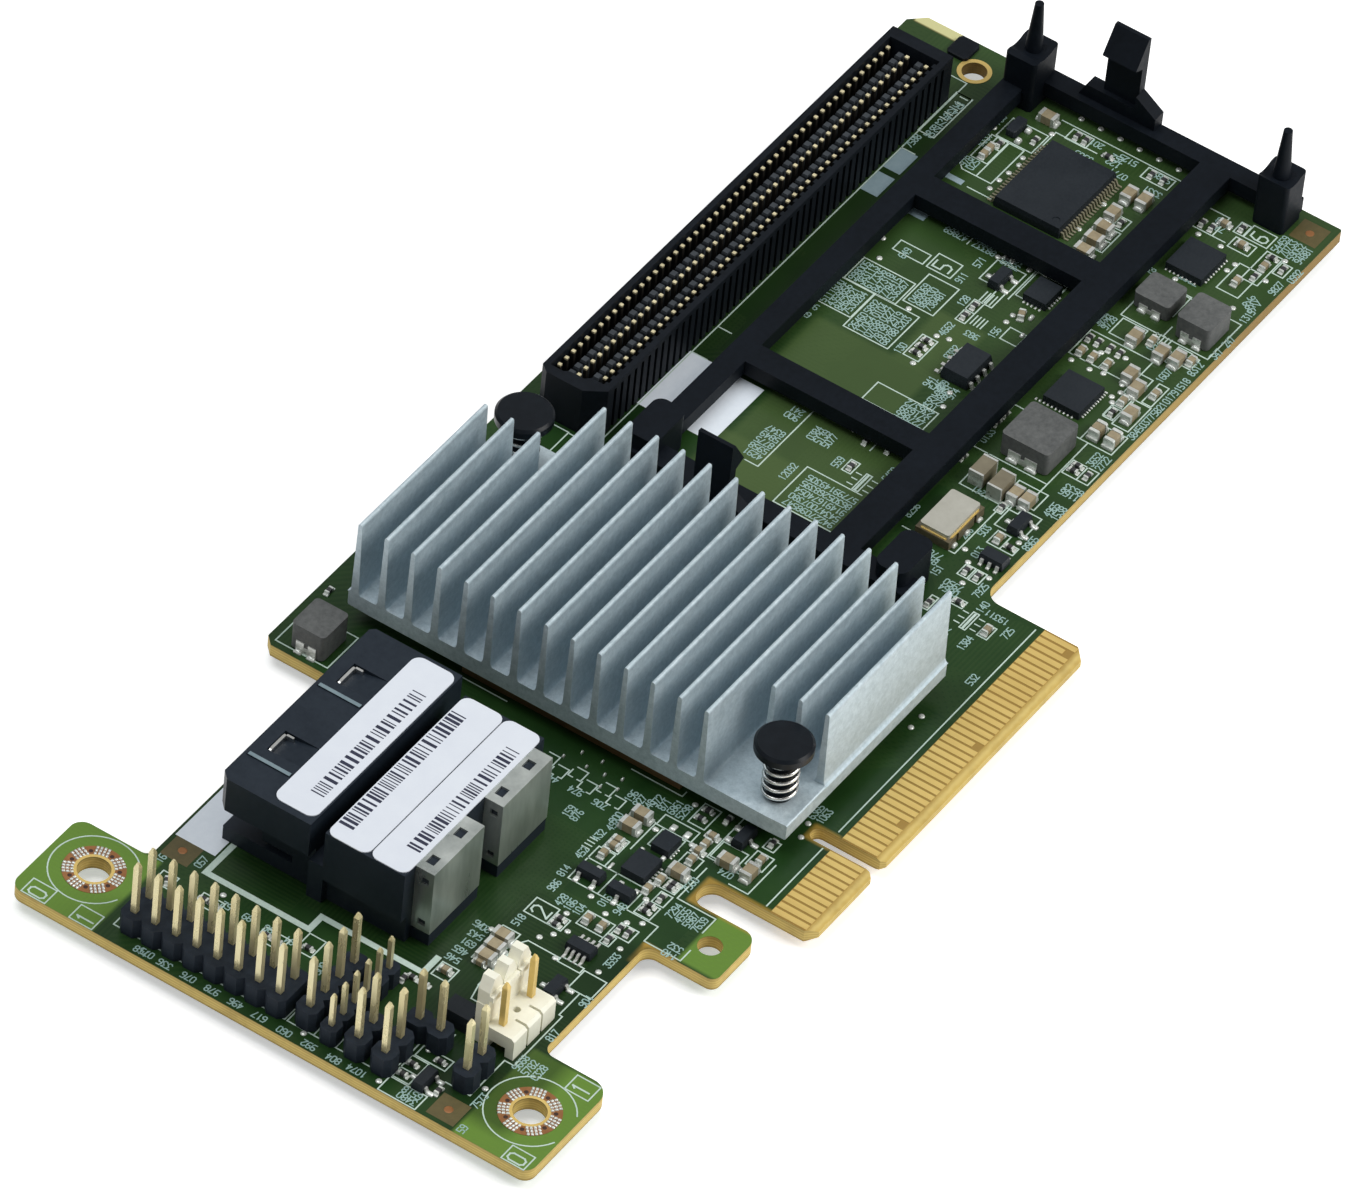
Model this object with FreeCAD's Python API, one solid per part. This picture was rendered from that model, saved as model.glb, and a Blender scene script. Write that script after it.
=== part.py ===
# Low-profile storage controller card, millimetres, +Z up from the component side of the board.
# Origin: centre line of the key notch (X), outer edge of the edge contacts (Y), board surface (Z).
# +X runs towards the far end of the board, +Y towards its top edge.
import math
import os
import FreeCAD
import Part

# ---------------------------------------------------------------- board
board_thickness = 1.57
bracket_end = -56.6
far_end = 109.35
top_edge = 67.6
far_lower_edge = 12.95
step_x = -12.55
recess_edge = 58.9
upper_tab_end = -44.6
lower_tab_end = -42.1
lower_tab_edge = 4.2
lower_body_edge = 12.5
hole_tab_left = -23.55
hole_tab_right = -15.7
hole_tab_edge = 4.25
slot_end = 12.6
short_section_end = -12.05
long_section_end = 39.1
key_half = 0.95
key_depth = 8.25
bevel_length = 0.95
bevel_depth = 0.4
bracket_hole_x = -49.6
bracket_hole_high = 62.15
bracket_hole_low = 8.85
bracket_hole_bore = 3.5
hook_hole_x = -19.7
hook_hole_y = 7.4
hook_hole_bore = 2.65
corner_hole_x = 105.3
corner_hole_y = 57.3
corner_hole_bore = 2.8
through_height = 1.5          # how far pins and pegs reach below the board
underside = -board_thickness
lowest = underside - through_height

# ---------------------------------------------------------------- edge contacts
contact_pitch = 1.0
contact_width = 0.7
contact_film = 0.05
contact_foot = 1.0
contact_end = 5.2
short_contact_foot = 1.95
short_count = 11
long_count = 38
first_contact = 1.5
short_front = (17, 31, 48)
short_back = (1,)

# ---------------------------------------------------------------- heatsink
sink_x = 10.0
sink_y = 35.55
sink_length = 29.8
sink_width = 54.1
sink_bottom = 2.4
sink_base = 2.0
sink_top = 14.3
fin_count = 17
fin_root = 1.1
fin_tip = 0.75
fin_inset = 0.25
relief_fins = 3
relief_length = 7.25
push_dx = 11.35
push_dy = 23.75
push_stem = 2.9
push_clearance = 0.1
push_head = 6.3
push_head_height = 1.1
push_collar = 4.6
push_top = 12.0
spring_wire = 0.42
spring_gap = 0.08
spring_turns = 5
spring_chords = 12            # straight chords in each turn of the coil
package_size = 27.0
package_height = 1.55
lid_size = 24.0
pad_height = 0.1

# ---------------------------------------------------------------- pin headers
header_pitch = 2.54
header_height = 2.54
header_pin = 0.64
header_tip = 9.45
small_pitch = 2.0
small_height = 2.2
small_pin = 0.5
small_tip = 6.6
cell_cut = 0.6
main_header_x = -53.71
main_header_y = 54.3
main_columns = 8
row_header_x = -53.3
row_header_y = 33.1
row_count = 4
fine_header_x = -53.9
fine_header_y = 30.05
fine_count = 6
pair_headers = ((-53.75, 26.9, 0), (-53.75, 23.65, 0), (-47.9, 21.05, 90), (-50.6, 15.95, 0))

# ---------------------------------------------------------------- fan header
fan_pitch = 2.46
fan_x = -41.35
fan_y = 16.35
fan_length = 7.4
fan_low_y = 14.1
fan_base = 2.9
fan_wall_y = 17.5
fan_wall = 1.4
fan_wall_top = 8.9
fan_tip = 8.8

# ---------------------------------------------------------------- cable ports
port_top = 10.3
port_left = -39.4
port_mouth = 54.6
port_step = 43.4
port_rear = 31.9
trough_width = 1.8
port_pitch = 12.1
shell_first = port_left + 1.95
shell_width = 8.8
port_tower_right = shell_first + port_pitch + shell_width + 1.75
port_right = port_tower_right + 2.1
shell_sheet = 0.3
shell_rear = 29.65
shell_height = 8.6
mouth_width = 10.4
mouth_height = 7.0
mouth_floor = 1.9
mouth_depth = 8.5
card_slot = 1.3
port_contacts = 9
port_contact_pitch = 0.75
carrier_depth = 4.0
shell_roof = 2.4
shell_roof_sheet = 0.1
rib_start = 48.9
label_film = 0.12
label_corner = 1.1
labels = ((-38.6, 43.6, 25.4, 5.1), (-39.4, 36.7, 24.5, 4.85), (-39.3, 31.95, 24.4, 4.3))

# ---------------------------------------------------------------- board stacking connector
stack_near = 32.7
stack_low = 57.15
stack_high = 64.9
stack_top = 6.2
stack_floor = 1.8
stack_wall = 0.7
stack_end_wall = 1.6
stack_pitch = 1.27
stack_count = 50
stack_first_x = stack_near + 2.4
stack_far = stack_first_x + (stack_count - 1) * stack_pitch + 2.57
stack_row_pitch = 2.45
stack_first_row = 58.9
stack_blade_top = 5.6
stack_tooth = 0.62
stack_comb_foot = 4.2

# ---------------------------------------------------------------- soldered parts
foot_sheet = 0.15
logic_x = 94.7
logic_y = 40.15
logic_length = 11.4
logic_width = 8.3
logic_top = 1.4
logic_lead_count = 22
logic_pitch = 0.5
switch_x = 65.95
switch_y = 32.65
switch_length = 4.9
switch_width = 3.3
switch_top = 1.6
switch_pitch = 1.27
driver_x = -28.4
driver_y = 17.2
driver_length = 3.0
driver_width = 1.5
driver_top = 1.0
driver_pitch = 0.65
gate_x = 44.0
gate_y = 14.8
transistor_length = 2.9
transistor_width = 1.35
transistor_top = 1.1
transistor_pitch = 1.9
transistors = ((-19.2, 22.3, -90), (-19.5, 18.4, 90), (-5.4, 12.9, 180), (49.95, 15.55, 0),
               (79.6, 37.3, 0), (-52.9, 19.3, 0), (-34.6, 16.2, 0))
regulator_size = (5.0, 4.5, 1.0)
regulators = ((94.9, 22.4), (69.7, 21.6))
small_flat_size = (3.4, 2.8, 1.0)
small_flats = ((80.5, 32.5), (-15.3, 18.8))
mini_flat_size = (2.5, 2.1, 1.0)
mini_flat = (-11.1, 18.6)
fuse_size = (2.5, 3.5, 2.0)
fuse_centre = (-43.75, 21.25)
inductors = (("large", 60.95, 20.35, 6.1, 5.9, 3.0), ("tall", -9.2, 62.95, 4.6, 4.1, 3.5),
             ("medium", 86.65, 16.3, 4.7, 4.2, 3.0), ("low", 87.5, 22.2, 4.0, 4.4, 2.0))
clip_sheet = 0.12
clip_foot = 1.0
oscillator_x = 45.8
oscillator_y = 21.55
oscillator_length = 6.8
oscillator_width = 4.2
oscillator_top = 1.7
oscillator_base_top = 1.1
tall_capacitor = (3.0, 1.75, 1.9)
tall_capacitors = ((53.7, 22.6), (53.1, 19.95))
chip_capacitor = (2.0, 1.25, 1.15)
chip_end = 0.4
chip_capacitors = ((-13.6, 15.4, 90), (-11.3, 22.9, 90), (-9.3, 22.8, 90), (-9.3, 12.3, 90), (-9.2, 9.7, 0),
                   (-32.0, 24.3, 90), (-33.7, 24.1, 90), (-35.4, 24.0, 90), (103.7, 46.8, 90),
                   (99.0, 33.5, 0), (99.2, 31.7, 0), (95.5, 33.3, 0), (93.0, 32.8, 90), (90.9, 32.7, 90),
                   (88.7, 32.6, 90), (81.0, 21.2, 0), (80.7, 17.7, 0), (81.0, 15.9, 0), (75.9, 18.5, 0),
                   (74.5, 16.8, 0), (70.9, 15.3, 0), (53.3, 18.2, 0), (53.3, 16.7, 0))

# ---------------------------------------------------------------- module frame
frame_top = 2.8
frame_under = 0.9
frame_left_low = 50.3
frame_left_high = 52.9
frame_right_low = 25.4
frame_right_high = 29.2
frame_far = 108.35
frame_bar = 2.4
frame_crosses = ((50.1, 3.1), (82.6, 3.6))
near_bar_x = 31.5
near_bar_width = 3.0
boss_width = 3.9
boss_top = 6.8
boss_x = 106.2
left_boss_near = 103.5
right_boss_near = 104.4
left_boss_y = 51.0
right_boss_y = 19.5
near_post_x = 36.5
near_left_y = 51.6
near_right_y = 20.6
near_post_size = 3.8
near_post_top = 4.8
cone_root = 2.1
cone_tip = 1.0
cone_top = 13.0
hook_top = 13.6
hook_barb = 3.2
hook_reach = 1.4
hook_width = 4.3
hook_strip = 1.1
hook_foot_top = 4.5
hook_foot = 9.6
hook_gusset = 1.7
far_hook_y = 40.5
near_hook_x = 29.9
near_hook_y = 40.7
peg_bore = 2.4
peg_clearance = 0.1


def box(x, y, z, dx, dy, dz):
    return Part.makeBox(dx, dy, dz, FreeCAD.Vector(x, y, z))


def rod(x, y, z, radius, height):
    return Part.makeCylinder(radius, height, FreeCAD.Vector(x, y, z))


def outline(corners):
    """Closed wire through (x, y, radius) corners; a radius of 0 keeps the corner sharp."""
    count = len(corners)
    edges = []
    starts = []
    ends = []
    middles = []
    for i in range(count):
        here = FreeCAD.Vector(corners[i][0], corners[i][1], 0)
        before = FreeCAD.Vector(corners[i - 1][0], corners[i - 1][1], 0)
        after = FreeCAD.Vector(corners[(i + 1) % count][0], corners[(i + 1) % count][1], 0)
        radius = corners[i][2]
        back = (before - here).normalize()
        ahead = (after - here).normalize()
        if radius == 0:
            starts.append(here)
            ends.append(here)
            middles.append(None)
            continue
        half = back.getAngle(ahead) / 2
        reach = radius / math.tan(half)
        bisector = (back + ahead).normalize()
        centre = here + bisector * (radius / math.sin(half))
        starts.append(here + back * reach)
        ends.append(here + ahead * reach)
        middles.append(centre - bisector * radius)
    for i in range(count):
        if middles[i] is not None:
            edges.append(Part.Arc(starts[i], middles[i], ends[i]).toShape())
        following = starts[(i + 1) % count]
        if ends[i].distanceToPoint(following) > 1e-6:
            edges.append(Part.makeLine(ends[i], following))
    return Part.Wire(edges)


def slab(corners, z, height):
    face = Part.Face(outline(corners))
    face.translate(FreeCAD.Vector(0, 0, z))
    return face.extrude(FreeCAD.Vector(0, 0, height))


def rounded_box(x, y, z, dx, dy, dz, radius):
    corners = [(x, y, radius), (x + dx, y, radius), (x + dx, y + dy, radius), (x, y + dy, radius)]
    return slab(corners, z, dz)


def merged(solids):
    whole = solids[0].multiFuse(solids[1:])
    return whole.removeSplitter()


def save(name, solids):
    if isinstance(solids, list):
        shape = solids[0] if len(solids) == 1 else Part.makeCompound(solids)
    else:
        shape = solids
    shape.exportStep("parts/" + name + ".step")


def push_points():
    return [(sink_x - push_dx, sink_y - push_dy), (sink_x + push_dx, sink_y + push_dy)]


def main_pin_points():
    points = []
    for column in range(main_columns):
        for row in range(2):
            points.append((main_header_x + row * header_pitch, main_header_y - column * header_pitch))
    return points


def row_pin_points():
    return [(row_header_x + i * header_pitch, row_header_y) for i in range(row_count)]


def fine_pin_points():
    return [(fine_header_x + i * small_pitch, fine_header_y) for i in range(fine_count)]


def pair_pin_points():
    points = []
    for x, y, turn in pair_headers:
        points.append((x, y))
        if turn == 0:
            points.append((x + header_pitch, y))
        else:
            points.append((x, y + header_pitch))
    return points


def fan_pin_points():
    return [(fan_x - fan_pitch, fan_y), (fan_x + fan_pitch, fan_y)]


def frame_pegs():
    far = [(boss_x, left_boss_y), (boss_x, right_boss_y)]
    near = [(near_post_x, near_left_y), (near_post_x, near_right_y)]
    return far + near


def port_pegs():
    return [(port_left + 3.0, port_step + 1.5), (port_tower_right - 1.0, port_step + 1.5)]


def board_corners():
    return [
        (bracket_end, lower_tab_edge, 1.3),
        (lower_tab_end, lower_tab_edge, 2.0),
        (lower_tab_end, lower_body_edge, 1.3),
        (hole_tab_left, lower_body_edge, 1.3),
        (hole_tab_left, hole_tab_edge, 1.0),
        (hole_tab_right, hole_tab_edge, 1.6),
        (hole_tab_right, slot_end, 1.6),
        (short_section_end, slot_end, 1.6),
        (short_section_end, 1.1, 0),
        (short_section_end + 1.1, 0, 0),
        (-key_half - 0.5, 0, 0),
        (-key_half, 0.5, 0),
        (-key_half, key_depth, 0.9),
        (key_half, key_depth, 0.9),
        (key_half, 0.5, 0),
        (key_half + 0.5, 0, 0),
        (long_section_end - 1.2, 0, 0),
        (long_section_end, 1.2, 0),
        (long_section_end, far_lower_edge, 2.0),
        (far_end, far_lower_edge, 0.3),
        (far_end, top_edge - 1.7, 0),
        (far_end - 1.7, top_edge, 0),
        (step_x + 1.0, top_edge, 0),
        (step_x, top_edge - 1.0, 0),
        (step_x, recess_edge, 0.6),
        (upper_tab_end, recess_edge, 1.0),
        (upper_tab_end, top_edge, 1.5),
        (bracket_end, top_edge, 1.5),
    ]


def circuit_board():
    board = slab(board_corners(), underside, board_thickness)
    holes = []
    for y in (bracket_hole_low, bracket_hole_high):
        holes.append((bracket_hole_x, y, bracket_hole_bore))
    holes.append((hook_hole_x, hook_hole_y, hook_hole_bore))
    holes.append((corner_hole_x, corner_hole_y, corner_hole_bore))
    for x, y in push_points():
        holes.append((x, y, push_stem + 2 * push_clearance))
    for x, y in frame_pegs():
        holes.append((x, y, peg_bore))
    for x, y in port_pegs():
        holes.append((x, y, peg_bore))
    drills = [rod(x, y, underside - 1, bore / 2, board_thickness + 2) for x, y, bore in holes]
    # solder fills the holes of the header pins, so each passage has the section of its pin
    wide = main_pin_points() + row_pin_points() + pair_pin_points() + fan_pin_points()
    for points, side in ((wide, header_pin), (fine_pin_points(), small_pin)):
        for x, y in points:
            drills.append(box(x - side / 2, y - side / 2, underside - 1, side, side, board_thickness + 2))
    board = board.cut(Part.makeCompound(drills))
    # the outer edge of the contact tongue is bevelled on both faces
    start = short_section_end - 1
    length = long_section_end - short_section_end + 2
    for surface, inward in ((0, -1), (underside, 1)):
        a = FreeCAD.Vector(start, -0.01, surface - inward * 0.01)
        b = FreeCAD.Vector(start, bevel_length, surface - inward * 0.01)
        c = FreeCAD.Vector(start, -0.01, surface + inward * bevel_depth)
        wedge = Part.Face(Part.makePolygon([a, b, c, a])).extrude(FreeCAD.Vector(length, 0, 0))
        board = board.cut(wedge)
    return board


def contact_numbers():
    short = [(-(first_contact + i * contact_pitch), short_count - i) for i in range(short_count)]
    long = [(first_contact + i * contact_pitch, short_count + 1 + i) for i in range(long_count)]
    return short + long


def edge_contacts(face, shortened):
    strips = []
    for x, number in contact_numbers():
        foot = short_contact_foot if number in shortened else contact_foot
        z = 0 if face > 0 else underside - contact_film
        strips.append(box(x - contact_width / 2, foot, z, contact_width, contact_end - foot, contact_film))
    return strips


def heatsink():
    low_y = sink_y - sink_width / 2
    high_y = sink_y + sink_width / 2
    floor = sink_bottom + sink_base
    pitch = (sink_width - 2 * fin_inset - fin_root) / (fin_count - 1)
    profile = [(low_y, sink_bottom), (high_y, sink_bottom), (high_y, floor)]
    for i in range(fin_count):
        middle = high_y - fin_inset - fin_root / 2 - i * pitch
        profile.append((middle + fin_root / 2, floor))
        profile.append((middle + fin_tip / 2, sink_top))
        profile.append((middle - fin_tip / 2, sink_top))
        profile.append((middle - fin_root / 2, floor))
    profile.append((low_y, floor))
    near = sink_x - sink_length / 2
    far = sink_x + sink_length / 2
    points = [FreeCAD.Vector(near, y, z) for y, z in profile]
    points.append(points[0])
    body = Part.Face(Part.makePolygon(points)).extrude(FreeCAD.Vector(sink_length, 0, 0))
    # two opposite corners are milled clear of fins for the push pins
    band = fin_inset + (relief_fins - 1) * pitch + (fin_root + pitch) / 2
    tall = sink_top - floor + 1
    body = body.cut(box(near - 1, low_y - 1, floor, relief_length + 1, band + 1, tall))
    body = body.cut(box(far - relief_length, high_y - band, floor, relief_length + 1, band + 1, tall))
    for x, y in push_points():
        body = body.cut(rod(x, y, sink_bottom - 1, push_stem / 2 + push_clearance, sink_base + 2))
    return body


def turned(x, y, profile):
    """Solid of revolution about the upright axis through (x, y); the profile is (radius, height) points."""
    points = [FreeCAD.Vector(x + radius, y, height) for radius, height in profile + profile[:1]]
    axis = FreeCAD.Vector(0, 0, 1)
    return Part.Face(Part.makePolygon(points)).revolve(FreeCAD.Vector(x, y, 0), axis, 360)


def push_pins():
    pins = []
    under_head = push_top - push_head_height
    collar_bottom = under_head - 0.5
    barb_top = underside - 0.05
    head = push_head / 2
    stem = push_stem / 2
    profile = [(0, lowest), (0.9, lowest), (stem + 0.45, lowest + 0.7), (stem + 0.45, barb_top),
               (stem, barb_top), (stem, collar_bottom), (push_collar / 2, collar_bottom),
               (push_collar / 2, under_head), (head, under_head), (head, push_top - 0.3),
               (head - 0.3, push_top), (0, push_top)]
    for x, y in push_points():
        pin = turned(x, y, profile)
        # the stem is slit from its tip so that the barbs can spring inwards
        pins.append(pin.cut(box(x - 0.3, y - 3, lowest - 1, 0.6, 6, 1 + barb_top - lowest + board_thickness)))
    return pins


def pin_springs():
    springs = []
    half = spring_wire / 2
    foot = sink_bottom + sink_base + half
    rise = push_top - push_head_height - 0.5 - half - foot
    radius = push_stem / 2 + spring_gap + half
    steps = spring_turns * spring_chords
    path = []
    for i in range(steps + 1):
        angle = 2 * math.pi * i / spring_chords
        path.append(FreeCAD.Vector(radius * math.cos(angle), radius * math.sin(angle), rise * i / steps))
    section = []
    for i in range(5):
        angle = i * math.pi / 2
        section.append(FreeCAD.Vector(radius + half * math.cos(angle), 0, half * math.sin(angle)))
    for x, y in push_points():
        # transition 1 mitres the wire at each corner of the path
        coil = Part.makePolygon(path).makePipeShell([Part.makePolygon(section)], True, True, 1)
        coil.translate(FreeCAD.Vector(x, y, foot))
        springs.append(coil)
    return springs


def package_base():
    corner = package_size / 2
    return box(sink_x - corner, sink_y - corner, 0, package_size, package_size, package_height)


def package_lid():
    corner = lid_size / 2
    return rounded_box(sink_x - corner, sink_y - corner, package_height, lid_size, lid_size,
                       sink_bottom - pad_height - package_height, 0.8)


def thermal_pad():
    corner = lid_size / 2 - 0.5
    return box(sink_x - corner, sink_y - corner, sink_bottom - pad_height, 2 * corner, 2 * corner, pad_height)


def tapered(x, y, bottom, top, low, high):
    """Block about the upright axis through (x, y) whose half sizes change evenly from low to high."""
    block = Part.makeWedge(-low[0], bottom, -low[1], -high[1], -high[0], low[0], top, low[1], high[1], high[0])
    block.rotate(FreeCAD.Vector(0, 0, 0), FreeCAD.Vector(1, 0, 0), 90)
    block.translate(FreeCAD.Vector(x, y, 0))
    return block


def square_pin(x, y, side, tip):
    shoulder = tip - 0.9 * side
    shaft = box(x - side / 2, y - side / 2, lowest, side, side, shoulder - lowest)
    point = tapered(x, y, shoulder, tip, (side / 2, side / 2), (side / 5, side / 5))
    return merged([shaft, point])


def header_cell(x, y, dx, dy, height, cut):
    left = x - dx / 2
    right = x + dx / 2
    low = y - dy / 2
    high = y + dy / 2
    corners = [(left + cut, low, 0), (right - cut, low, 0), (right, low + cut, 0), (right, high - cut, 0),
               (right - cut, high, 0), (left + cut, high, 0), (left, high - cut, 0), (left, low + cut, 0)]
    return slab(corners, 0, height)


def header_block(cells, pins, side):
    block = merged(cells) if len(cells) > 1 else cells[0]
    shafts = [box(x - side / 2, y - side / 2, -1, side, side, 10) for x, y in pins]
    return block.cut(Part.makeCompound(shafts))


def main_header():
    cells = []
    for column in range(main_columns):
        y = main_header_y - column * header_pitch
        cells.append(header_cell(main_header_x + header_pitch / 2, y, 2 * header_pitch, header_pitch,
                                 header_height, cell_cut))
    return header_block(cells, main_pin_points(), header_pin)


def row_header():
    cells = [header_cell(x, y, header_pitch, header_pitch, header_height, cell_cut)
             for x, y in row_pin_points()]
    return header_block(cells, row_pin_points(), header_pin)


def fine_header():
    cells = [header_cell(x, y, small_pitch, small_pitch, small_height, cell_cut * 0.7)
             for x, y in fine_pin_points()]
    return header_block(cells, fine_pin_points(), small_pin)


def pair_header_blocks():
    blocks = []
    points = pair_pin_points()
    for i in range(len(pair_headers)):
        both = points[2 * i:2 * i + 2]
        cells = [header_cell(x, y, header_pitch, header_pitch, header_height, cell_cut) for x, y in both]
        blocks.append(header_block(cells, both, header_pin))
    return blocks


def fan_header():
    near = fan_x - fan_length / 2
    base = box(near, fan_low_y, 0, fan_length, fan_wall_y - fan_low_y, fan_base)
    front = [edge for edge in base.Edges if edge.Length > fan_length - 0.01
             and edge.BoundBox.YMax < fan_low_y + 0.01 and edge.BoundBox.ZMin > fan_base - 0.01]
    base = base.makeChamfer(0.35, front)
    wall = box(near, fan_wall_y, 0, fan_length, fan_wall, fan_base + 2.6)
    pieces = [base, wall]
    third = fan_length / 3
    for i in range(3):
        # each lobe of the lock wall narrows to a rounded peak that leans over the plug
        left = near + i * third + 0.1
        right = left + third - 0.2
        middle = (left + right) / 2
        shape = [(left, fan_base + 2.5), (right, fan_base + 2.5), (right, fan_wall_top - 1.5),
                 (middle + 0.45, fan_wall_top), (middle - 0.45, fan_wall_top), (left, fan_wall_top - 1.5)]
        points = [FreeCAD.Vector(u, fan_wall_y, w) for u, w in shape]
        points.append(points[0])
        pieces.append(Part.Face(Part.makePolygon(points)).extrude(FreeCAD.Vector(0, fan_wall, 0)))
        pieces.append(box(left, fan_wall_y - 0.45, fan_wall_top - 2.6, right - left, 0.5, 0.7))
    body = merged(pieces)
    cuts = []
    for i in (1, 2):
        x = near + i * third
        cuts.append(box(x - 0.15, fan_low_y - 1, -1, 0.3, 2.6, 9))
    # an open foot under the near end and a blind hole where the middle pin is left out
    cuts.append(box(near - 1, fan_low_y + 1.0, -1, 2.4, 2.0, 2.2))
    cuts.append(rod(fan_x, fan_y, fan_base - 1.5, 0.4, 3))
    for x, y in fan_pin_points():
        cuts.append(box(x - header_pin / 2, y - header_pin / 2, -1, header_pin, header_pin, 12))
    return body.cut(Part.makeCompound(cuts))


def placed(shape, x, y, turn):
    shape.rotate(FreeCAD.Vector(0, 0, 0), FreeCAD.Vector(0, 0, 1), turn)
    shape.translate(FreeCAD.Vector(x, y, 0))
    return shape


def formed_lead(x, width, exit_y, exit_z, reach):
    """Sheet-metal lead that leaves a body at (exit_y, exit_z) and runs down to a flat foot on the board."""
    heel = exit_y - 0.55 * reach
    toe = exit_y - reach
    profile = [(exit_y, exit_z + foot_sheet), (exit_y - 0.3 * reach, exit_z + foot_sheet), (heel, foot_sheet),
               (toe, foot_sheet), (toe, 0), (heel + foot_sheet, 0), (exit_y, exit_z),
               (exit_y, exit_z + foot_sheet)]
    points = [FreeCAD.Vector(x - width / 2, y, z) for y, z in profile]
    return Part.Face(Part.makePolygon(points)).extrude(FreeCAD.Vector(width, 0, 0))


def lead_rows(x, y, turn, low, high, half_width, exit_z, reach, width):
    """Leads at the given places along a body: low ones on its -Y side, high ones on its +Y side."""
    leads = []
    for place in low:
        leads.append(placed(formed_lead(place, width, -half_width, exit_z, reach), x, y, turn))
    for place in high:
        leads.append(placed(formed_lead(-place, width, -half_width, exit_z, reach), x, y, turn + 180))
    return leads


def spread(count, pitch):
    return [(i - (count - 1) / 2) * pitch for i in range(count)]


def moulded_body(x, y, turn, dx, dy, bottom, top, draft):
    """Moulded case whose top edges are drawn in by the draft."""
    middle = (bottom + top) / 2
    low = box(-dx / 2, -dy / 2, bottom, dx, dy, middle - bottom)
    high = tapered(0, 0, middle, top, (dx / 2, dy / 2), (dx / 2 - draft, dy / 2 - draft))
    return placed(merged([low, high]), x, y, turn)


def logic_body():
    body = moulded_body(logic_x, logic_y, 0, logic_length, logic_width, 0.1, logic_top, 0.12)
    dimple = rod(logic_x - logic_length / 2 + 1.1, logic_y - logic_width / 2 + 1.1, logic_top - 0.08, 0.45, 1)
    return body.cut(dimple)


def logic_leads():
    places = spread(logic_lead_count, logic_pitch)
    return lead_rows(logic_x, logic_y, 0, places, places, logic_width / 2, 0.6, 1.0, 0.22)


def switch_body():
    return moulded_body(switch_x, switch_y, 0, switch_length, switch_width, 0.1, switch_top, 0.15)


def switch_leads():
    places = spread(4, switch_pitch)
    return lead_rows(switch_x, switch_y, 0, places, places, switch_width / 2, 0.7, 1.0, 0.4)


def driver_body():
    return moulded_body(driver_x, driver_y, -90, driver_length, driver_width, 0.05, driver_top, 0.08)


def driver_leads():
    places = spread(4, driver_pitch)
    return lead_rows(driver_x, driver_y, -90, places, places, driver_width / 2, 0.4, 1.2, 0.28)


def transistor_bodies():
    return [moulded_body(x, y, turn, transistor_length, transistor_width, 0.05, transistor_top, 0.1)
            for x, y, turn in transistors]


def transistor_leads():
    leads = []
    for x, y, turn in transistors:
        leads += lead_rows(x, y, turn, spread(2, transistor_pitch), [0], transistor_width / 2, 0.45, 0.65, 0.4)
    return leads


def gate_body():
    return moulded_body(gate_x, gate_y, -90, transistor_length, 1.6, 0.05, transistor_top, 0.1)


def gate_leads():
    return lead_rows(gate_x, gate_y, -90, spread(3, 0.95), spread(2, transistor_pitch), 0.8, 0.45, 0.65, 0.38)


def flat_package(x, y, size):
    return box(x - size[0] / 2, y - size[1] / 2, 0, size[0], size[1], size[2])


def inductor_body(x, y, dx, dy, top):
    return rounded_box(x - dx / 2, y - dy / 2, clip_sheet, dx, dy, top - clip_sheet, 0.5)


def inductor_clips():
    clips = []
    for name, x, y, dx, dy, top in inductors:
        width = 0.6 * dy
        for side in (-1, 1):
            end = x + side * dx / 2
            plate = box(min(end, end + side * clip_sheet), y - width / 2, 0, clip_sheet, width, 0.42 * top)
            inside = end - side * clip_foot
            foot = box(min(end, inside), y - width / 2, 0, clip_foot, width, clip_sheet)
            slot = box(end - 0.3, y - 0.25, 0.25 * top, 0.6, 0.5, top)
            clips.append(merged([plate, foot]).cut(slot))
    return clips


def oscillator_base():
    near = oscillator_x - oscillator_length / 2
    low = oscillator_y - oscillator_width / 2
    base = box(near, low, 0, oscillator_length, oscillator_width, oscillator_base_top)
    notches = [box(oscillator_x + i * 1.7 - 0.2, low + j * oscillator_width - 0.2, -1, 0.4, 0.4, 3)
               for i in (-1, 1) for j in (0, 1)]
    return base.cut(Part.makeCompound(notches))


def oscillator_lid():
    near = oscillator_x - oscillator_length / 2 + 0.3
    low = oscillator_y - oscillator_width / 2 + 0.3
    height = oscillator_top - oscillator_base_top
    return rounded_box(near, low, oscillator_base_top, oscillator_length - 0.6, oscillator_width - 0.6, height, 0.3)


def capacitor_body(x, y, turn, size, end):
    length = size[0] - 2 * end
    return placed(box(-length / 2, -size[1] / 2, 0.04, length, size[1], size[2] - 0.08), x, y, turn)


def capacitor_ends(x, y, turn, size, end):
    ends = []
    for side in (-1, 1):
        start = side * size[0] / 2 - (end if side > 0 else 0)
        ends.append(placed(box(start, -size[1] / 2, 0, end, size[1], size[2]), x, y, turn))
    return ends


def port_centres():
    first = shell_first + shell_width / 2
    return [first, first + port_pitch]


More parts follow.
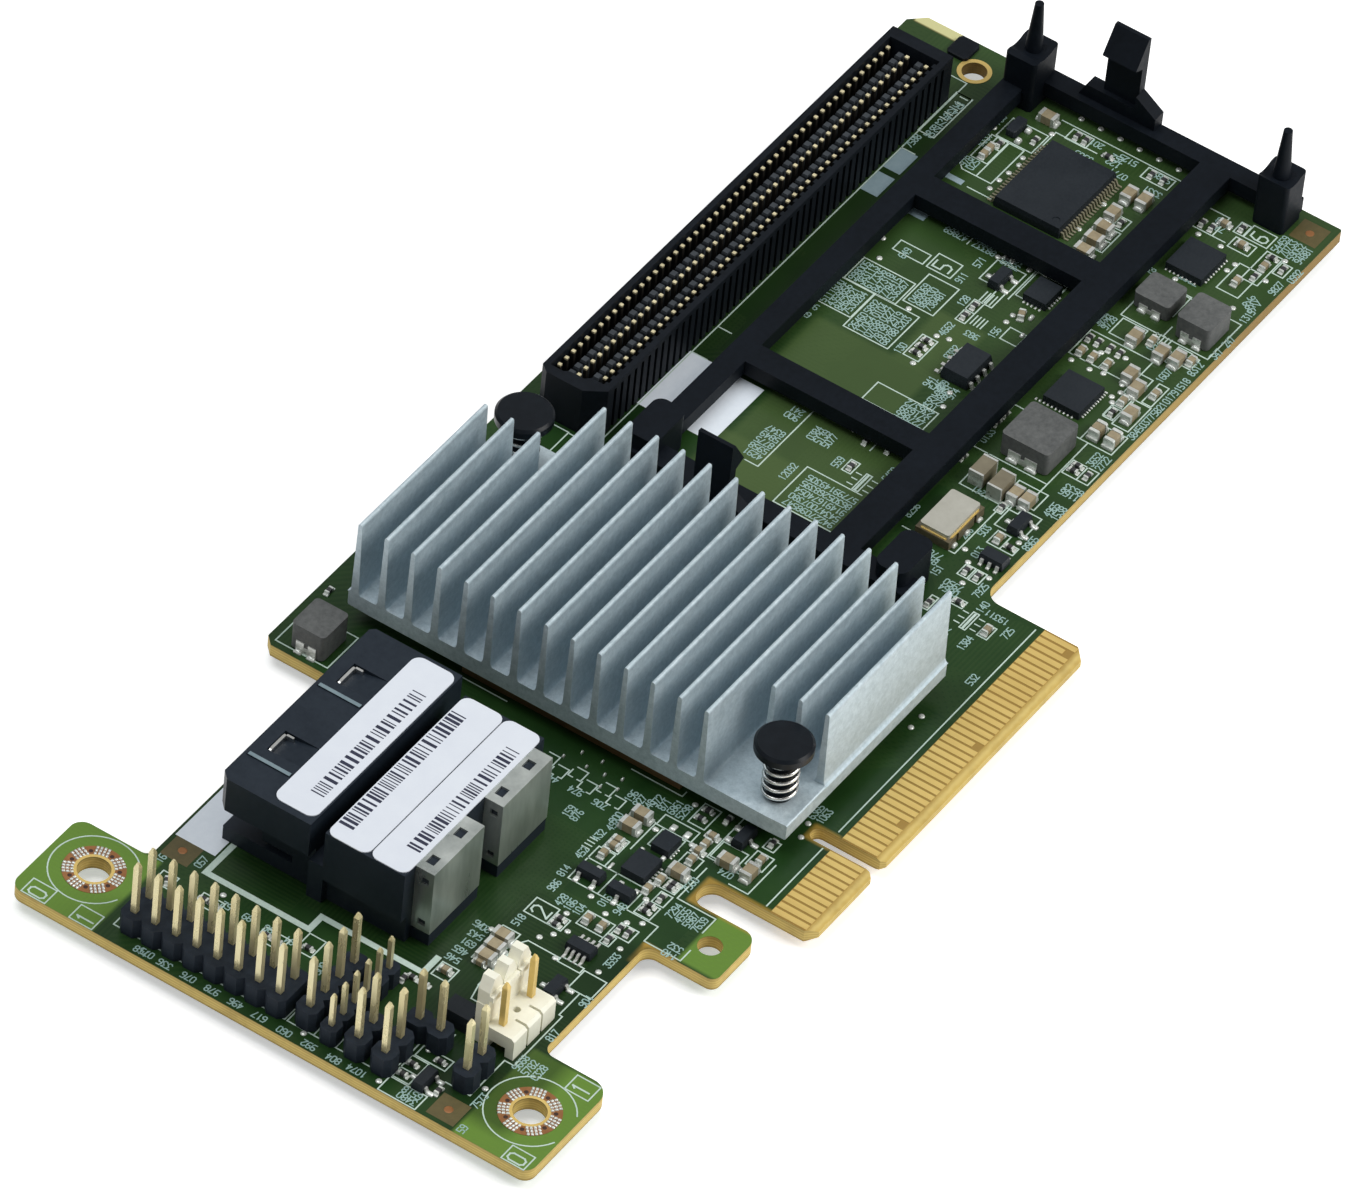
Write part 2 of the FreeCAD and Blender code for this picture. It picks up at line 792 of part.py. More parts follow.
def port_housing():
    width = port_right - port_left
    tower = port_tower_right - port_left
    rear = box(port_left, port_rear, 0, tower, port_step - trough_width - port_rear + 0.01, port_top)
    link = box(port_left + 0.2, port_step - trough_width, 0, tower - 0.4, trough_width + 0.01, 5.2)
    corners = [(port_left, port_step, 0), (port_right, port_step, 0), (port_right, port_mouth - 0.5, 0),
               (port_right - 0.5, port_mouth, 0), (port_left + 0.9, port_mouth, 0),
               (port_left, port_mouth - 0.9, 0)]
    front = slab(corners, 0, port_top)
    # the foot is set back under the mouth block and under the contact tower
    front = front.cut(box(port_left - 1, port_step - 1, -1, 2.4, port_mouth, 6.8))
    rear = rear.cut(box(port_left - 1, port_rear - 1, -1, 2.0, port_step, 4.6))
    body = merged([rear, link, front])
    cuts = []
    adds = []
    for i, x in enumerate(port_centres()):
        cuts.append(box(x - mouth_width / 2, port_mouth - mouth_depth, mouth_floor, mouth_width,
                        mouth_depth + 1, mouth_height))
        # latch pocket in the roof with a ramped floor
        a = FreeCAD.Vector(x - 0.45, 48.2, port_top + 0.1)
        b = FreeCAD.Vector(x - 0.45, 53.0, port_top + 0.1)
        c = FreeCAD.Vector(x - 0.45, 53.0, port_top - 0.8)
        cuts.append(Part.Face(Part.makePolygon([a, b, c, a])).extrude(FreeCAD.Vector(3.3, 0, 0)))
        # the metal roof of each shell lies flush in the housing
        left = shell_first + i * port_pitch
        cuts.append(box(left, port_rear - 1, port_top - shell_roof_sheet, shell_width, 1 + shell_roof, 1))
        # contact carrier inside the mouth, with two slots for the plug tongues
        carrier = box(x - 4.6, port_mouth - mouth_depth - 0.5, mouth_floor + 0.5, 9.2, 0.5 + carrier_depth, 6.0)
        for level in (1.9, 5.1):
            z = mouth_floor + level - card_slot / 2
            carrier = carrier.cut(box(x - 4.2, port_mouth - mouth_depth + 0.7, z, 8.4, 6, card_slot))
        adds.append(carrier)
    body = body.cut(Part.makeCompound(cuts))
    for x in (port_left + 4.1, port_left + 16.4):
        adds.append(box(x, rib_start, port_top - 0.2, 0.5, port_mouth - 0.4 - rib_start, 0.35))
    for x, y in port_pegs():
        adds.append(rod(x, y, lowest, peg_bore / 2 - peg_clearance, 1.0 - lowest))
    return merged([body] + adds)


def port_contact_blades():
    blades = []
    for x in port_centres():
        for level in (1.9, 5.1):
            y = port_mouth - mouth_depth + 0.7
            z = mouth_floor + level - card_slot / 2
            for place in spread(port_contacts, port_contact_pitch):
                blades.append(box(x + place - 0.15, y, z, 0.3, carrier_depth - 0.9, 0.25))
    return blades


def port_shell(index):
    x = shell_first + index * port_pitch
    depth = port_rear - shell_rear
    low = port_top - shell_height
    shell = box(x, shell_rear, low, shell_width, depth, shell_height)
    inner = box(x + shell_sheet, shell_rear + shell_sheet, low - 1, shell_width - 2 * shell_sheet, depth,
                shell_height + 1 - shell_sheet)
    shell = shell.cut(inner)
    roof = box(x, port_rear - 0.2, port_top - shell_roof_sheet, shell_width, 0.2 + shell_roof, shell_roof_sheet)
    shell = merged([shell, roof])
    for offset in (1.7, 6.5):
        shell = shell.cut(box(x + offset - 0.65, shell_rear + 0.85, port_top - 1, 1.3, 1.0, 2))
    shell = shell.cut(box(x - 1, shell_rear + 0.6, port_top - 2.0, 2, 0.9, 0.9))
    return shell.cut(box(x - 1, shell_rear + 0.6, low + 0.8, 2, 0.9, 0.8))


def port_tail_block(index):
    x = shell_first + index * port_pitch
    y = shell_rear + shell_sheet
    inner = box(x + shell_sheet, y, 0, shell_width - 2 * shell_sheet, port_rear - y,
                port_top - shell_sheet)
    skirt = box(x + 0.1, shell_rear + 0.05, 0, shell_width - 0.2, port_rear - shell_rear - 0.05,
                port_top - shell_height)
    return merged([inner, skirt])


def label(index):
    x, y, dx, dy = labels[index]
    return rounded_box(x, y, port_top, dx, dy, label_film, label_corner)


def stack_points():
    return [stack_first_x + i * stack_pitch for i in range(stack_count)]


def stack_rows():
    return [stack_first_row + i * stack_row_pitch for i in range(3)]


def stack_housing():
    length = stack_far - stack_near
    corners = [(stack_near + 1.6, stack_low, 0), (stack_far, stack_low, 0), (stack_far, stack_high, 0),
               (stack_near + 0.8, stack_high, 0), (stack_near, stack_high - 1.0, 0),
               (stack_near, stack_low + 2.2, 0)]
    body = slab(corners, 0, stack_top)
    inner_low = stack_low + stack_wall
    inner_high = stack_high - stack_wall
    near = stack_near + stack_end_wall
    far = stack_far - stack_end_wall
    # the near end of the cavity is stepped so that the mating half fits one way round
    cavity = [(near - 0.4, inner_high - 1.6, 0.3), (near - 0.4, inner_high, 0), (far, inner_high, 0),
              (far, inner_low, 0), (near + 0.6, inner_low, 0.3), (near + 0.6, inner_low + 1.8, 0.4),
              (near, inner_low + 2.4, 0.3), (near, inner_high - 2.2, 0.3)]
    body = body.cut(slab(cavity, stack_floor, stack_top))
    teeth = []
    grooves = []
    for x in stack_points():
        left = x - stack_tooth / 2
        teeth.append(box(left, inner_low - 0.1, stack_comb_foot, stack_tooth, 0.4, stack_top - stack_comb_foot))
        grooves.append(box(x + 0.35, stack_low - 1, -1, 0.5, 1.25, stack_top + 0.4))
    body = body.cut(Part.makeCompound(grooves))
    return merged([body] + teeth)


def stack_blades():
    blades = []
    for y in stack_rows():
        for x in stack_points():
            blades.append(box(x - 0.2, y - 0.2, stack_floor, 0.4, 0.4, stack_blade_top - stack_floor))
    return blades


def frame_boss(near, y):
    far = frame_far - 0.05
    boss = rounded_box(near, y - boss_width / 2, 0, far - near, boss_width, boss_top, 0.5)
    # shallow saddle across the top round the root of the guide cone
    start = FreeCAD.Vector(boss_x - 0.4, y - boss_width / 2 - 1, boss_top + 2.9)
    saddle = Part.makeCylinder(3.2, boss_width + 2, start, FreeCAD.Vector(0, 1, 0))
    boss = boss.cut(saddle)
    root = cone_root / 2
    tip = cone_tip / 2
    cone = turned(boss_x, y, [(0, boss_top - 1), (root, boss_top - 1), (tip, cone_top), (0, cone_top)])
    return merged([boss, cone])


def frame_hook(x, y, inward):
    """Snap hook on an end bar; the barb and the bar lie towards inward (-1 or +1 along X)."""
    barb_root = hook_top - hook_barb - 0.6
    barb_tip = hook_top - hook_barb
    low = y - hook_width / 2
    profile = [(0, frame_under), (0, hook_top), (0.5, hook_top), (hook_strip + hook_reach, barb_tip),
               (hook_strip, barb_root), (hook_strip, frame_under), (0, frame_under)]
    points = [FreeCAD.Vector(x + inward * u, low, w) for u, w in profile]
    strip = Part.Face(Part.makePolygon(points)).extrude(FreeCAD.Vector(0, hook_width, 0))
    half = hook_foot / 2
    ramp = [(y - half, frame_under), (y + half, frame_under), (y + half, frame_top),
            (y + half - 0.8, hook_foot_top), (low, hook_foot_top), (low, hook_foot_top + hook_gusset),
            (y - half, hook_foot_top - 0.1), (y - half, frame_under)]
    points = [FreeCAD.Vector(x, v, w) for v, w in ramp]
    foot = Part.Face(Part.makePolygon(points)).extrude(FreeCAD.Vector(inward * (hook_strip + 0.6), 0, 0))
    return merged([strip, foot])


def module_frame():
    depth = frame_top - frame_under
    left_y = frame_left_low
    pieces = []
    pieces.append(box(near_bar_x, left_y, frame_under, frame_far - near_bar_x,
                      frame_left_high - left_y, depth))
    pieces.append(box(near_bar_x, frame_right_low, frame_under, frame_far - near_bar_x,
                      frame_right_high - frame_right_low, depth))
    low = right_boss_y - boss_width / 2
    pieces.append(box(frame_far - frame_bar, low, frame_under, frame_bar, frame_left_high - low, depth))
    pieces.append(box(near_bar_x, low, frame_under, near_bar_width, frame_left_high - low, depth))
    for x, width in frame_crosses:
        pieces.append(box(x, frame_right_low, frame_under, width, frame_left_high - frame_right_low, depth))
    pieces.append(frame_boss(left_boss_near, left_boss_y))
    pieces.append(frame_boss(right_boss_near, right_boss_y))
    for y in (near_left_y, near_right_y):
        half = near_post_size / 2
        pieces.append(rounded_box(near_bar_x + 0.5, y - half, 0, near_post_x + half - near_bar_x - 0.5,
                                  near_post_size, near_post_top, 1.2))
    for x, y in frame_pegs():
        pieces.append(rod(x, y, lowest, peg_bore / 2 - peg_clearance, frame_top - lowest))
    pieces.append(frame_hook(frame_far + 0.25, far_hook_y, -1))
    pieces.append(frame_hook(near_hook_x - hook_strip, near_hook_y, 1))
    pieces.append(box(near_hook_x, near_hook_y - hook_foot / 2, frame_under, near_bar_x - near_hook_x + 0.1,
                      hook_foot, depth))
    return merged(pieces)


def main():
    os.makedirs("parts", exist_ok=True)
    save("circuit_board", circuit_board())
    save("edge_contacts_front", edge_contacts(1, short_front))
    save("edge_contacts_back", edge_contacts(-1, short_back))
    save("heatsink", heatsink())
    save("push_pins", push_pins())
    save("pin_springs", pin_springs())
    save("controller_package", package_base())
    save("controller_lid", package_lid())
    save("thermal_pad", thermal_pad())
    save("main_header_block", main_header())
    save("main_header_pins", [square_pin(x, y, header_pin, header_tip) for x, y in main_pin_points()])
    save("row_header_block", row_header())
    save("row_header_pins", [square_pin(x, y, header_pin, header_tip) for x, y in row_pin_points()])
    save("fine_header_block", fine_header())
    save("fine_header_pins", [square_pin(x, y, small_pin, small_tip) for x, y in fine_pin_points()])
    save("pair_header_blocks", pair_header_blocks())
    save("pair_header_pins", [square_pin(x, y, header_pin, header_tip) for x, y in pair_pin_points()])
    save("fan_header_body", fan_header())
    save("fan_header_pins", [square_pin(x, y, header_pin, fan_tip) for x, y in fan_pin_points()])
    save("port_housing", port_housing())
    save("port_contacts", port_contact_blades())
    save("port_shell_1", port_shell(0))
    save("port_shell_2", port_shell(1))
    save("port_tail_blocks", [port_tail_block(0), port_tail_block(1)])
    save("module_frame", module_frame())
    save("stack_housing", stack_housing())
    save("stack_contacts", stack_blades())
    save("port_label_front", label(0))
    save("port_label_middle", label(1))
    save("port_label_rear", label(2))
    save("logic_chip_body", logic_body())
    save("logic_chip_leads", logic_leads())
    save("switch_chip_body", switch_body())
    save("switch_chip_leads", switch_leads())
    save("driver_chip_body", driver_body())
    save("driver_chip_leads", driver_leads())
    save("gate_chip_body", gate_body())
    save("gate_chip_leads", gate_leads())
    save("transistor_bodies", transistor_bodies())
    save("transistor_leads", transistor_leads())
    save("regulator_bodies", [flat_package(x, y, regulator_size) for x, y in regulators])
    save("small_flat_bodies", [flat_package(x, y, small_flat_size) for x, y in small_flats])
    save("mini_flat_body", flat_package(mini_flat[0], mini_flat[1], mini_flat_size))
    save("fuse_body", moulded_body(fuse_centre[0], fuse_centre[1], 0, fuse_size[0], fuse_size[1], 0,
                                   fuse_size[2], 0.12))
    for name, x, y, dx, dy, top in inductors:
        save("inductor_" + name, inductor_body(x, y, dx, dy, top))
    save("inductor_clips", inductor_clips())
    save("oscillator_base", oscillator_base())
    save("oscillator_lid", oscillator_lid())
    bodies = [capacitor_body(x, y, 0, tall_capacitor, 0.25) for x, y in tall_capacitors]
    ends = []
    for x, y in tall_capacitors:
        ends += capacitor_ends(x, y, 0, tall_capacitor, 0.25)
    save("tall_capacitor_bodies", bodies)
    save("tall_capacitor_ends", ends)
    bodies = [capacitor_body(x, y, turn, chip_capacitor, chip_end) for x, y, turn in chip_capacitors]
    ends = []
    for x, y, turn in chip_capacitors:
        ends += capacitor_ends(x, y, turn, chip_capacitor, chip_end)
    save("chip_capacitor_bodies", bodies)
    save("chip_capacitor_ends", ends)


main()
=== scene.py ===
import bpy
import numpy as np
from mathutils import Matrix, Vector


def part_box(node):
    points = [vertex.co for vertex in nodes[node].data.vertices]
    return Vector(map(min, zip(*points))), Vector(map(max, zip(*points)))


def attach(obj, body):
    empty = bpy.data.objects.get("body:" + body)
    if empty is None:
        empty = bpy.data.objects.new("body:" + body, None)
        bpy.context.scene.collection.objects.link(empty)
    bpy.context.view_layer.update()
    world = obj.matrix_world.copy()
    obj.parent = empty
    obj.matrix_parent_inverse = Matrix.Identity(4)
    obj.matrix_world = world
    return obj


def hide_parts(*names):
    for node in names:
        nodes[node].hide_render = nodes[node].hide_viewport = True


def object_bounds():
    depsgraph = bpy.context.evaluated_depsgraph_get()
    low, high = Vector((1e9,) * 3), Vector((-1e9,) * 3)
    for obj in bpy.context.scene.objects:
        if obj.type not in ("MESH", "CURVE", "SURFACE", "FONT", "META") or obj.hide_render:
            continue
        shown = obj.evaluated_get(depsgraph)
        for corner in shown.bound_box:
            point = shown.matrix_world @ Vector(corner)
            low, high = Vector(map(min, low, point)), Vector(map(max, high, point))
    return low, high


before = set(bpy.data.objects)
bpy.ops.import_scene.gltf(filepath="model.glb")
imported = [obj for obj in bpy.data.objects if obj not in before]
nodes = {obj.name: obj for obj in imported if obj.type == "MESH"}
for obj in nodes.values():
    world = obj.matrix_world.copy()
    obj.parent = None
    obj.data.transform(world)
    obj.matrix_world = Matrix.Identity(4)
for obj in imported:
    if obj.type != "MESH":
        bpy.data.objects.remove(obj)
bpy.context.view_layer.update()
mm = 0.001
print("frame loaded:", len(nodes), "nodes")

# A shape is an array of points in millimetres and a list of face arrays, one array for each number of corners.


def putMesh(name, shape, finishName, smooth=False):
    # one shape as a piece in metres that rides with the card
    points, groups = shape
    mesh = bpy.data.meshes.new(name)
    mesh.from_pydata((points * mm).tolist(), [], [face for group in groups for face in group.tolist()])
    mesh.validate()
    mesh.update()
    if smooth:
        mesh.polygons.foreach_set("use_smooth", np.ones(len(mesh.polygons), dtype=bool))
    piece = bpy.data.objects.new(name, mesh)
    bpy.context.scene.collection.objects.link(piece)
    mesh.materials.append(finishes[finishName])
    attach(piece, "root")
    return piece


def millimetres(box):
    # the lowest and highest corners of a box, from metres
    return [np.array(corner) / mm for corner in box]


def sideFaces(rows, count):
    # four-cornered faces between each row of count points and the next row, going round
    i = np.arange(count)
    j = (i + 1) % count
    start = np.arange(rows - 1)[:, None] * count
    return np.stack([start + i, start + j, start + count + j, start + count + i], 2).reshape(-1, 4)


def ringStack(outline, levels):
    # an outline carried up through levels of (height, scale X, scale Y): each level's points are the outline
    # times its scales, at its height; a cap closes each end
    outline = np.asarray(outline, float)
    levels = np.asarray(levels, float)
    k = len(outline)
    points = np.empty((len(levels), k, 3))
    points[:, :, :2] = outline[None] * levels[:, None, 1:]
    points[:, :, 2] = levels[:, None, 0]
    i = np.arange(k)
    return points.reshape(-1, 3), [sideFaces(len(levels), k), np.stack([i[::-1], (len(levels) - 1) * k + i])]


def stamp(shape, places):
    # copies of one shape at places of (x, y, z, size X, size Y, size Z, turn in degrees): each copy is the shape
    # times its sizes, turned by x cos - y sin and x sin + y cos, and moved to x, y, z
    points, groups = shape
    places = np.asarray(places, float)
    turn = np.radians(places[:, 6])[:, None]
    local = points[None] * places[:, None, 3:6]
    x = local[:, :, 0] * np.cos(turn) - local[:, :, 1] * np.sin(turn) + places[:, None, 0]
    y = local[:, :, 0] * np.sin(turn) + local[:, :, 1] * np.cos(turn) + places[:, None, 1]
    z = local[:, :, 2] + places[:, None, 2]
    start = (np.arange(len(places)) * len(points))[:, None, None]
    return (np.stack([x, y, z], 2).reshape(-1, 3),
            [(group[None] + start).reshape(-1, group.shape[1]) for group in groups])


def join(*shapes):
    # several shapes as one, each counting its points from where the last one ends
    starts = np.cumsum([0] + [len(points) for points, groups in shapes])
    return (np.concatenate([points for points, groups in shapes]),
            [group + start for (points, groups), start in zip(shapes, starts) for group in groups])


def lathe(profile, steps, places):
    # a closed profile of (radius, height) carried round an upright axis: x is radius times cos of the angle and
    # y is radius times sin; copied to each place of (x, y)
    profile = np.asarray(profile, float)
    angle = np.linspace(0, 2 * np.pi, steps, endpoint=False)
    ring = np.stack([np.outer(np.cos(angle), profile[:, 0]), np.outer(np.sin(angle), profile[:, 0]),
                     np.tile(profile[:, 1], (steps, 1))], 2).reshape(-1, 3)
    k = len(profile)
    i = np.arange(steps)[:, None] * k
    j = (np.arange(steps)[:, None] + 1) % steps * k
    a = np.arange(k)
    b = (a + 1) % k
    quads = np.stack([i + a, j + a, j + b, i + b], 2).reshape(-1, 4)
    return stamp((ring, [quads]), [(x, y, 0, 1, 1, 1, 0) for x, y in places])


def tube(path, radius, sides):
    # a round section carried along a path and square to it: each ring is the path's point plus radius times
    # (cos of the angle times the side direction plus sin times the up direction); the ends are closed
    along = np.gradient(path, axis=0)
    along /= np.linalg.norm(along, axis=1)[:, None]
    side = np.cross(along, (0, 0, 1))
    side /= np.linalg.norm(side, axis=1)[:, None]
    up = np.cross(side, along)
    angle = np.linspace(0, 2 * np.pi, sides, endpoint=False)[None, :, None]
    points = path[:, None] + radius * (np.cos(angle) * side[:, None] + np.sin(angle) * up[:, None])
    a = np.arange(sides)
    caps = np.stack([a, (len(path) - 1) * sides + a[::-1]])
    return points.reshape(-1, 3), [sideFaces(len(path), sides)[:, ::-1], caps]


squareOutline = [(-0.5, -0.5), (0.5, -0.5), (0.5, 0.5), (-0.5, 0.5)]
softOutline = [(-0.5, -0.38), (-0.38, -0.5), (0.38, -0.5), (0.5, -0.38),
               (0.5, 0.38), (0.38, 0.5), (-0.38, 0.5), (-0.5, 0.38)]
roundAngle = np.linspace(0, 2 * np.pi, 12, endpoint=False)
roundOutline = 0.5 * np.stack([np.cos(roundAngle), np.sin(roundAngle)], 1)
strokeShape = ringStack(squareOutline, [(-1, 1, 1), (1, 1, 1)])
softBox = ringStack(softOutline, [(0, 1, 1), (0.86, 1, 1), (1, 0.88, 0.88)])
domeShape = ringStack(roundOutline, [(-0.2, 1, 1), (0.3, 0.95, 0.95), (0.7, 0.72, 0.72), (0.95, 0.35, 0.35)])
solderShape = ringStack(softOutline, [(-0.1, 1, 1), (0.35, 0.95, 0.95), (0.8, 0.7, 0.7), (1, 0.4, 0.4)])

# Finishes: every pattern reads the piece's own coordinates.


def newFinish(name):
    # an empty finish, its shader's sockets and the place on the piece that its patterns read
    finish = bpy.data.materials.new(name)
    finish.use_nodes = True
    tree = finish.node_tree
    tree.nodes.clear()
    out = tree.nodes.new("ShaderNodeOutputMaterial")
    shader = tree.nodes.new("ShaderNodeBsdfPrincipled")
    tree.links.new(shader.outputs[0], out.inputs[0])
    return finish, shader.inputs, tree.nodes.new("ShaderNodeTexCoord").outputs["Object"]


def addNode(near, kind, **settings):
    # a node beside a socket, its properties or its inputs set by name
    node = near.id_data.nodes.new(kind)
    for key, value in settings.items():
        if hasattr(node, key):
            setattr(node, key, value)
        else:
            node.inputs[key].default_value = value
    return node


def feed(socket, value):
    # another socket, a colour or a number put into a socket
    if isinstance(value, bpy.types.NodeSocket):
        value.id_data.links.new(value, socket)
    else:
        socket.default_value = (*value, 1) if isinstance(value, tuple) else value


def axes(place):
    # X, Y and Z of a place
    split = addNode(place, "ShaderNodeSeparateXYZ")
    feed(split.inputs[0], place)
    return list(split.outputs)


def noise(place, scale, detail=3.0, roughness=0.6, stretch=None):
    # cloudy noise from 0 to 1 at a place, which is stretched first where asked
    if stretch:
        mapping = addNode(place, "ShaderNodeMapping", Scale=stretch)
        feed(mapping.inputs[0], place)
        place = mapping.outputs[0]
    node = addNode(place, "ShaderNodeTexNoise", Scale=scale, Detail=detail, Roughness=roughness)
    feed(node.inputs["Vector"], place)
    return node.outputs[0]


def bands(place, direction, scale, distortion=0.0):
    # light and dark bands that follow one another along a direction
    node = addNode(place, "ShaderNodeTexWave", wave_type="BANDS", bands_direction=direction, Scale=scale,
                   Distortion=distortion)
    feed(node.inputs["Vector"], place)
    return node.outputs[1]


def spread(value, low, high, lowOut=0.0, highOut=1.0):
    # low to high drawn out to lowOut to highOut, level beyond both
    node = addNode(value, "ShaderNodeMapRange",
                   **{"From Min": low, "From Max": high, "To Min": lowOut, "To Max": highOut})
    feed(node.inputs["Value"], value)
    return node.outputs[0]


def blendColours(factor, first, second):
    # the first colour where the factor is 0, the second where it is 1
    node = addNode(factor, "ShaderNodeMix", data_type="RGBA")
    for socket, value in zip((0, 6, 7), (factor, first, second)):
        feed(node.inputs[socket], value)
    return node.outputs[2]


def maths(operation, first, second):
    # a socket and a second socket or number, worked out point by point
    node = addNode(first, "ShaderNodeMath", operation=operation)
    feed(node.inputs[0], first)
    feed(node.inputs[1], second)
    return node.outputs[0]


def times(first, second):
    # the product of both
    return maths("MULTIPLY", first, second)


def bump(shader, height, strength, distance):
    # a relief with its distance in millimetres
    node = addNode(height, "ShaderNodeBump", Strength=strength, Distance=distance * mm)
    feed(node.inputs["Height"], height)
    feed(shader["Normal"], node.outputs[0])


def grained(name, light, dark, rough, scale, relief, depth=0.02, metal=0.0, gloss=0.5, stretch=None):
    # two close colours, a roughness and a fine relief: fine noise times 0.6 plus broad noise times 0.4
    finish, shader, place = newFinish(name)
    fine = noise(place, scale, 4.0, 0.65, stretch)
    both = maths("ADD", times(fine, 0.6), times(noise(place, scale / 9, 2.0, 0.5), 0.4))
    feed(shader["Base Color"], blendColours(spread(both, 0.35, 0.65), dark, light))
    feed(shader["Roughness"], spread(both, 0.3, 0.7, *rough))
    feed(shader["Metallic"], metal)
    feed(shader["Specular IOR Level"], gloss)
    bump(shader, fine, relief, depth)
    return finish


def inRect(x, y, rect, soft):
    # 1 inside a rectangle of the board seen from above, 0 outside, with a soft edge: four ramps multiplied
    x0, x1, y0, y1 = [v * mm for v in rect]
    soft *= mm
    value = times(spread(x, x0 - soft, x0 + soft), spread(x, x1 - soft, x1 + soft, 1, 0))
    value = times(value, spread(y, y0 - soft, y0 + soft))
    return times(value, spread(y, y1 - soft, y1 + soft, 1, 0))


def tinted(colour, x, y, area):
    # a colour turned towards an area's own colour inside the area's rectangles
    for rect in area["rects"]:
        colour = blendColours(times(inRect(x, y, rect, area["soft"]), area["strength"]), colour, area["colour"])
    return colour


board = {
    "mask": (0.018, 0.054, 0.012),        # solder mask over the copper planes
    "maskDark": (0.009, 0.034, 0.007),
    "maskLight": (0.084, 0.132, 0.042),
    "gloss": 0.25,
    # areas of the mask: x0, x1, y0, y1 of each, with a soft edge, in millimetres
    "pours": {"colour": (0.084, 0.132, 0.042), "strength": 0.45, "soft": 0.4, "rects": [
        (55.4, 63.2, 35, 49.6), (33, 43, 38, 48), (30, 52, 26, 47), (63, 72, 34, 40)]},
    "tabs": {"colour": (0.125, 0.235, 0.035), "strength": 1.0, "soft": 0.25, "rects": [  # no copper below
        (-60, -42.3, 0, 13.4), (-60, -44.5, 57.4, 70), (-23.3, -15.6, 0, 9)]},
    "routed": {"colour": (0.40, 0.25, 0.045), "strength": 0.75, "soft": 0.25, "rects": [  # scorched by the cutter
        (-1.2, 1.2, 5.3, 8.5), (-15.9, -11.8, 4.3, 12.85), (-26.5, -23.3, 12.2, 12.85),
        (-23.85, -23.3, 9, 12.85)]},
    # painted shade: soft-edged, near-black patches where the board lies in shade
    "paintedShade": {"colour": (0.004, 0.018, 0.003), "strength": 0.62, "soft": 1.0, "rects": [
        (-54, -24.5, 9, 26), (-41, -36, 26, 52), (29, 105, 52.5, 57.3)]},
    "paler": (44, 74, 0.2),               # less copper towards the far end: from x, to x, how much
    "cells": 110.0, "conductors": 620.0, "conductorShade": 0.07, "conductorRelief": 0.5, "gritRelief": 0.25,
    "laminate": (0.62, 0.44, 0.12),
    "laminatePale": (0.76, 0.59, 0.20),
    "laminateBurnt": (0.20, 0.11, 0.025),
    "layers": 900.0, "burnt": 0.35,
    "charred": (40, 92, 0.8),             # darker edge towards the far end: from x, to x, how much
    "betweenContacts": (0.33, 0.205, 0.05),
    "tongue": (-13, 39.2, -1, 5.25),
    # bare laminate strip at the far end, its colour painted pale as a highlight
    "farStripHighlight": (0.62, 0.60, 0.30),
    "farStripPlace": (108, 110, 61.4, 66.9),
}


def alongCard(x, ramp):
    # a share that grows along X
    return spread(x, ramp[0] * mm, ramp[1] * mm, 0.0, ramp[2])


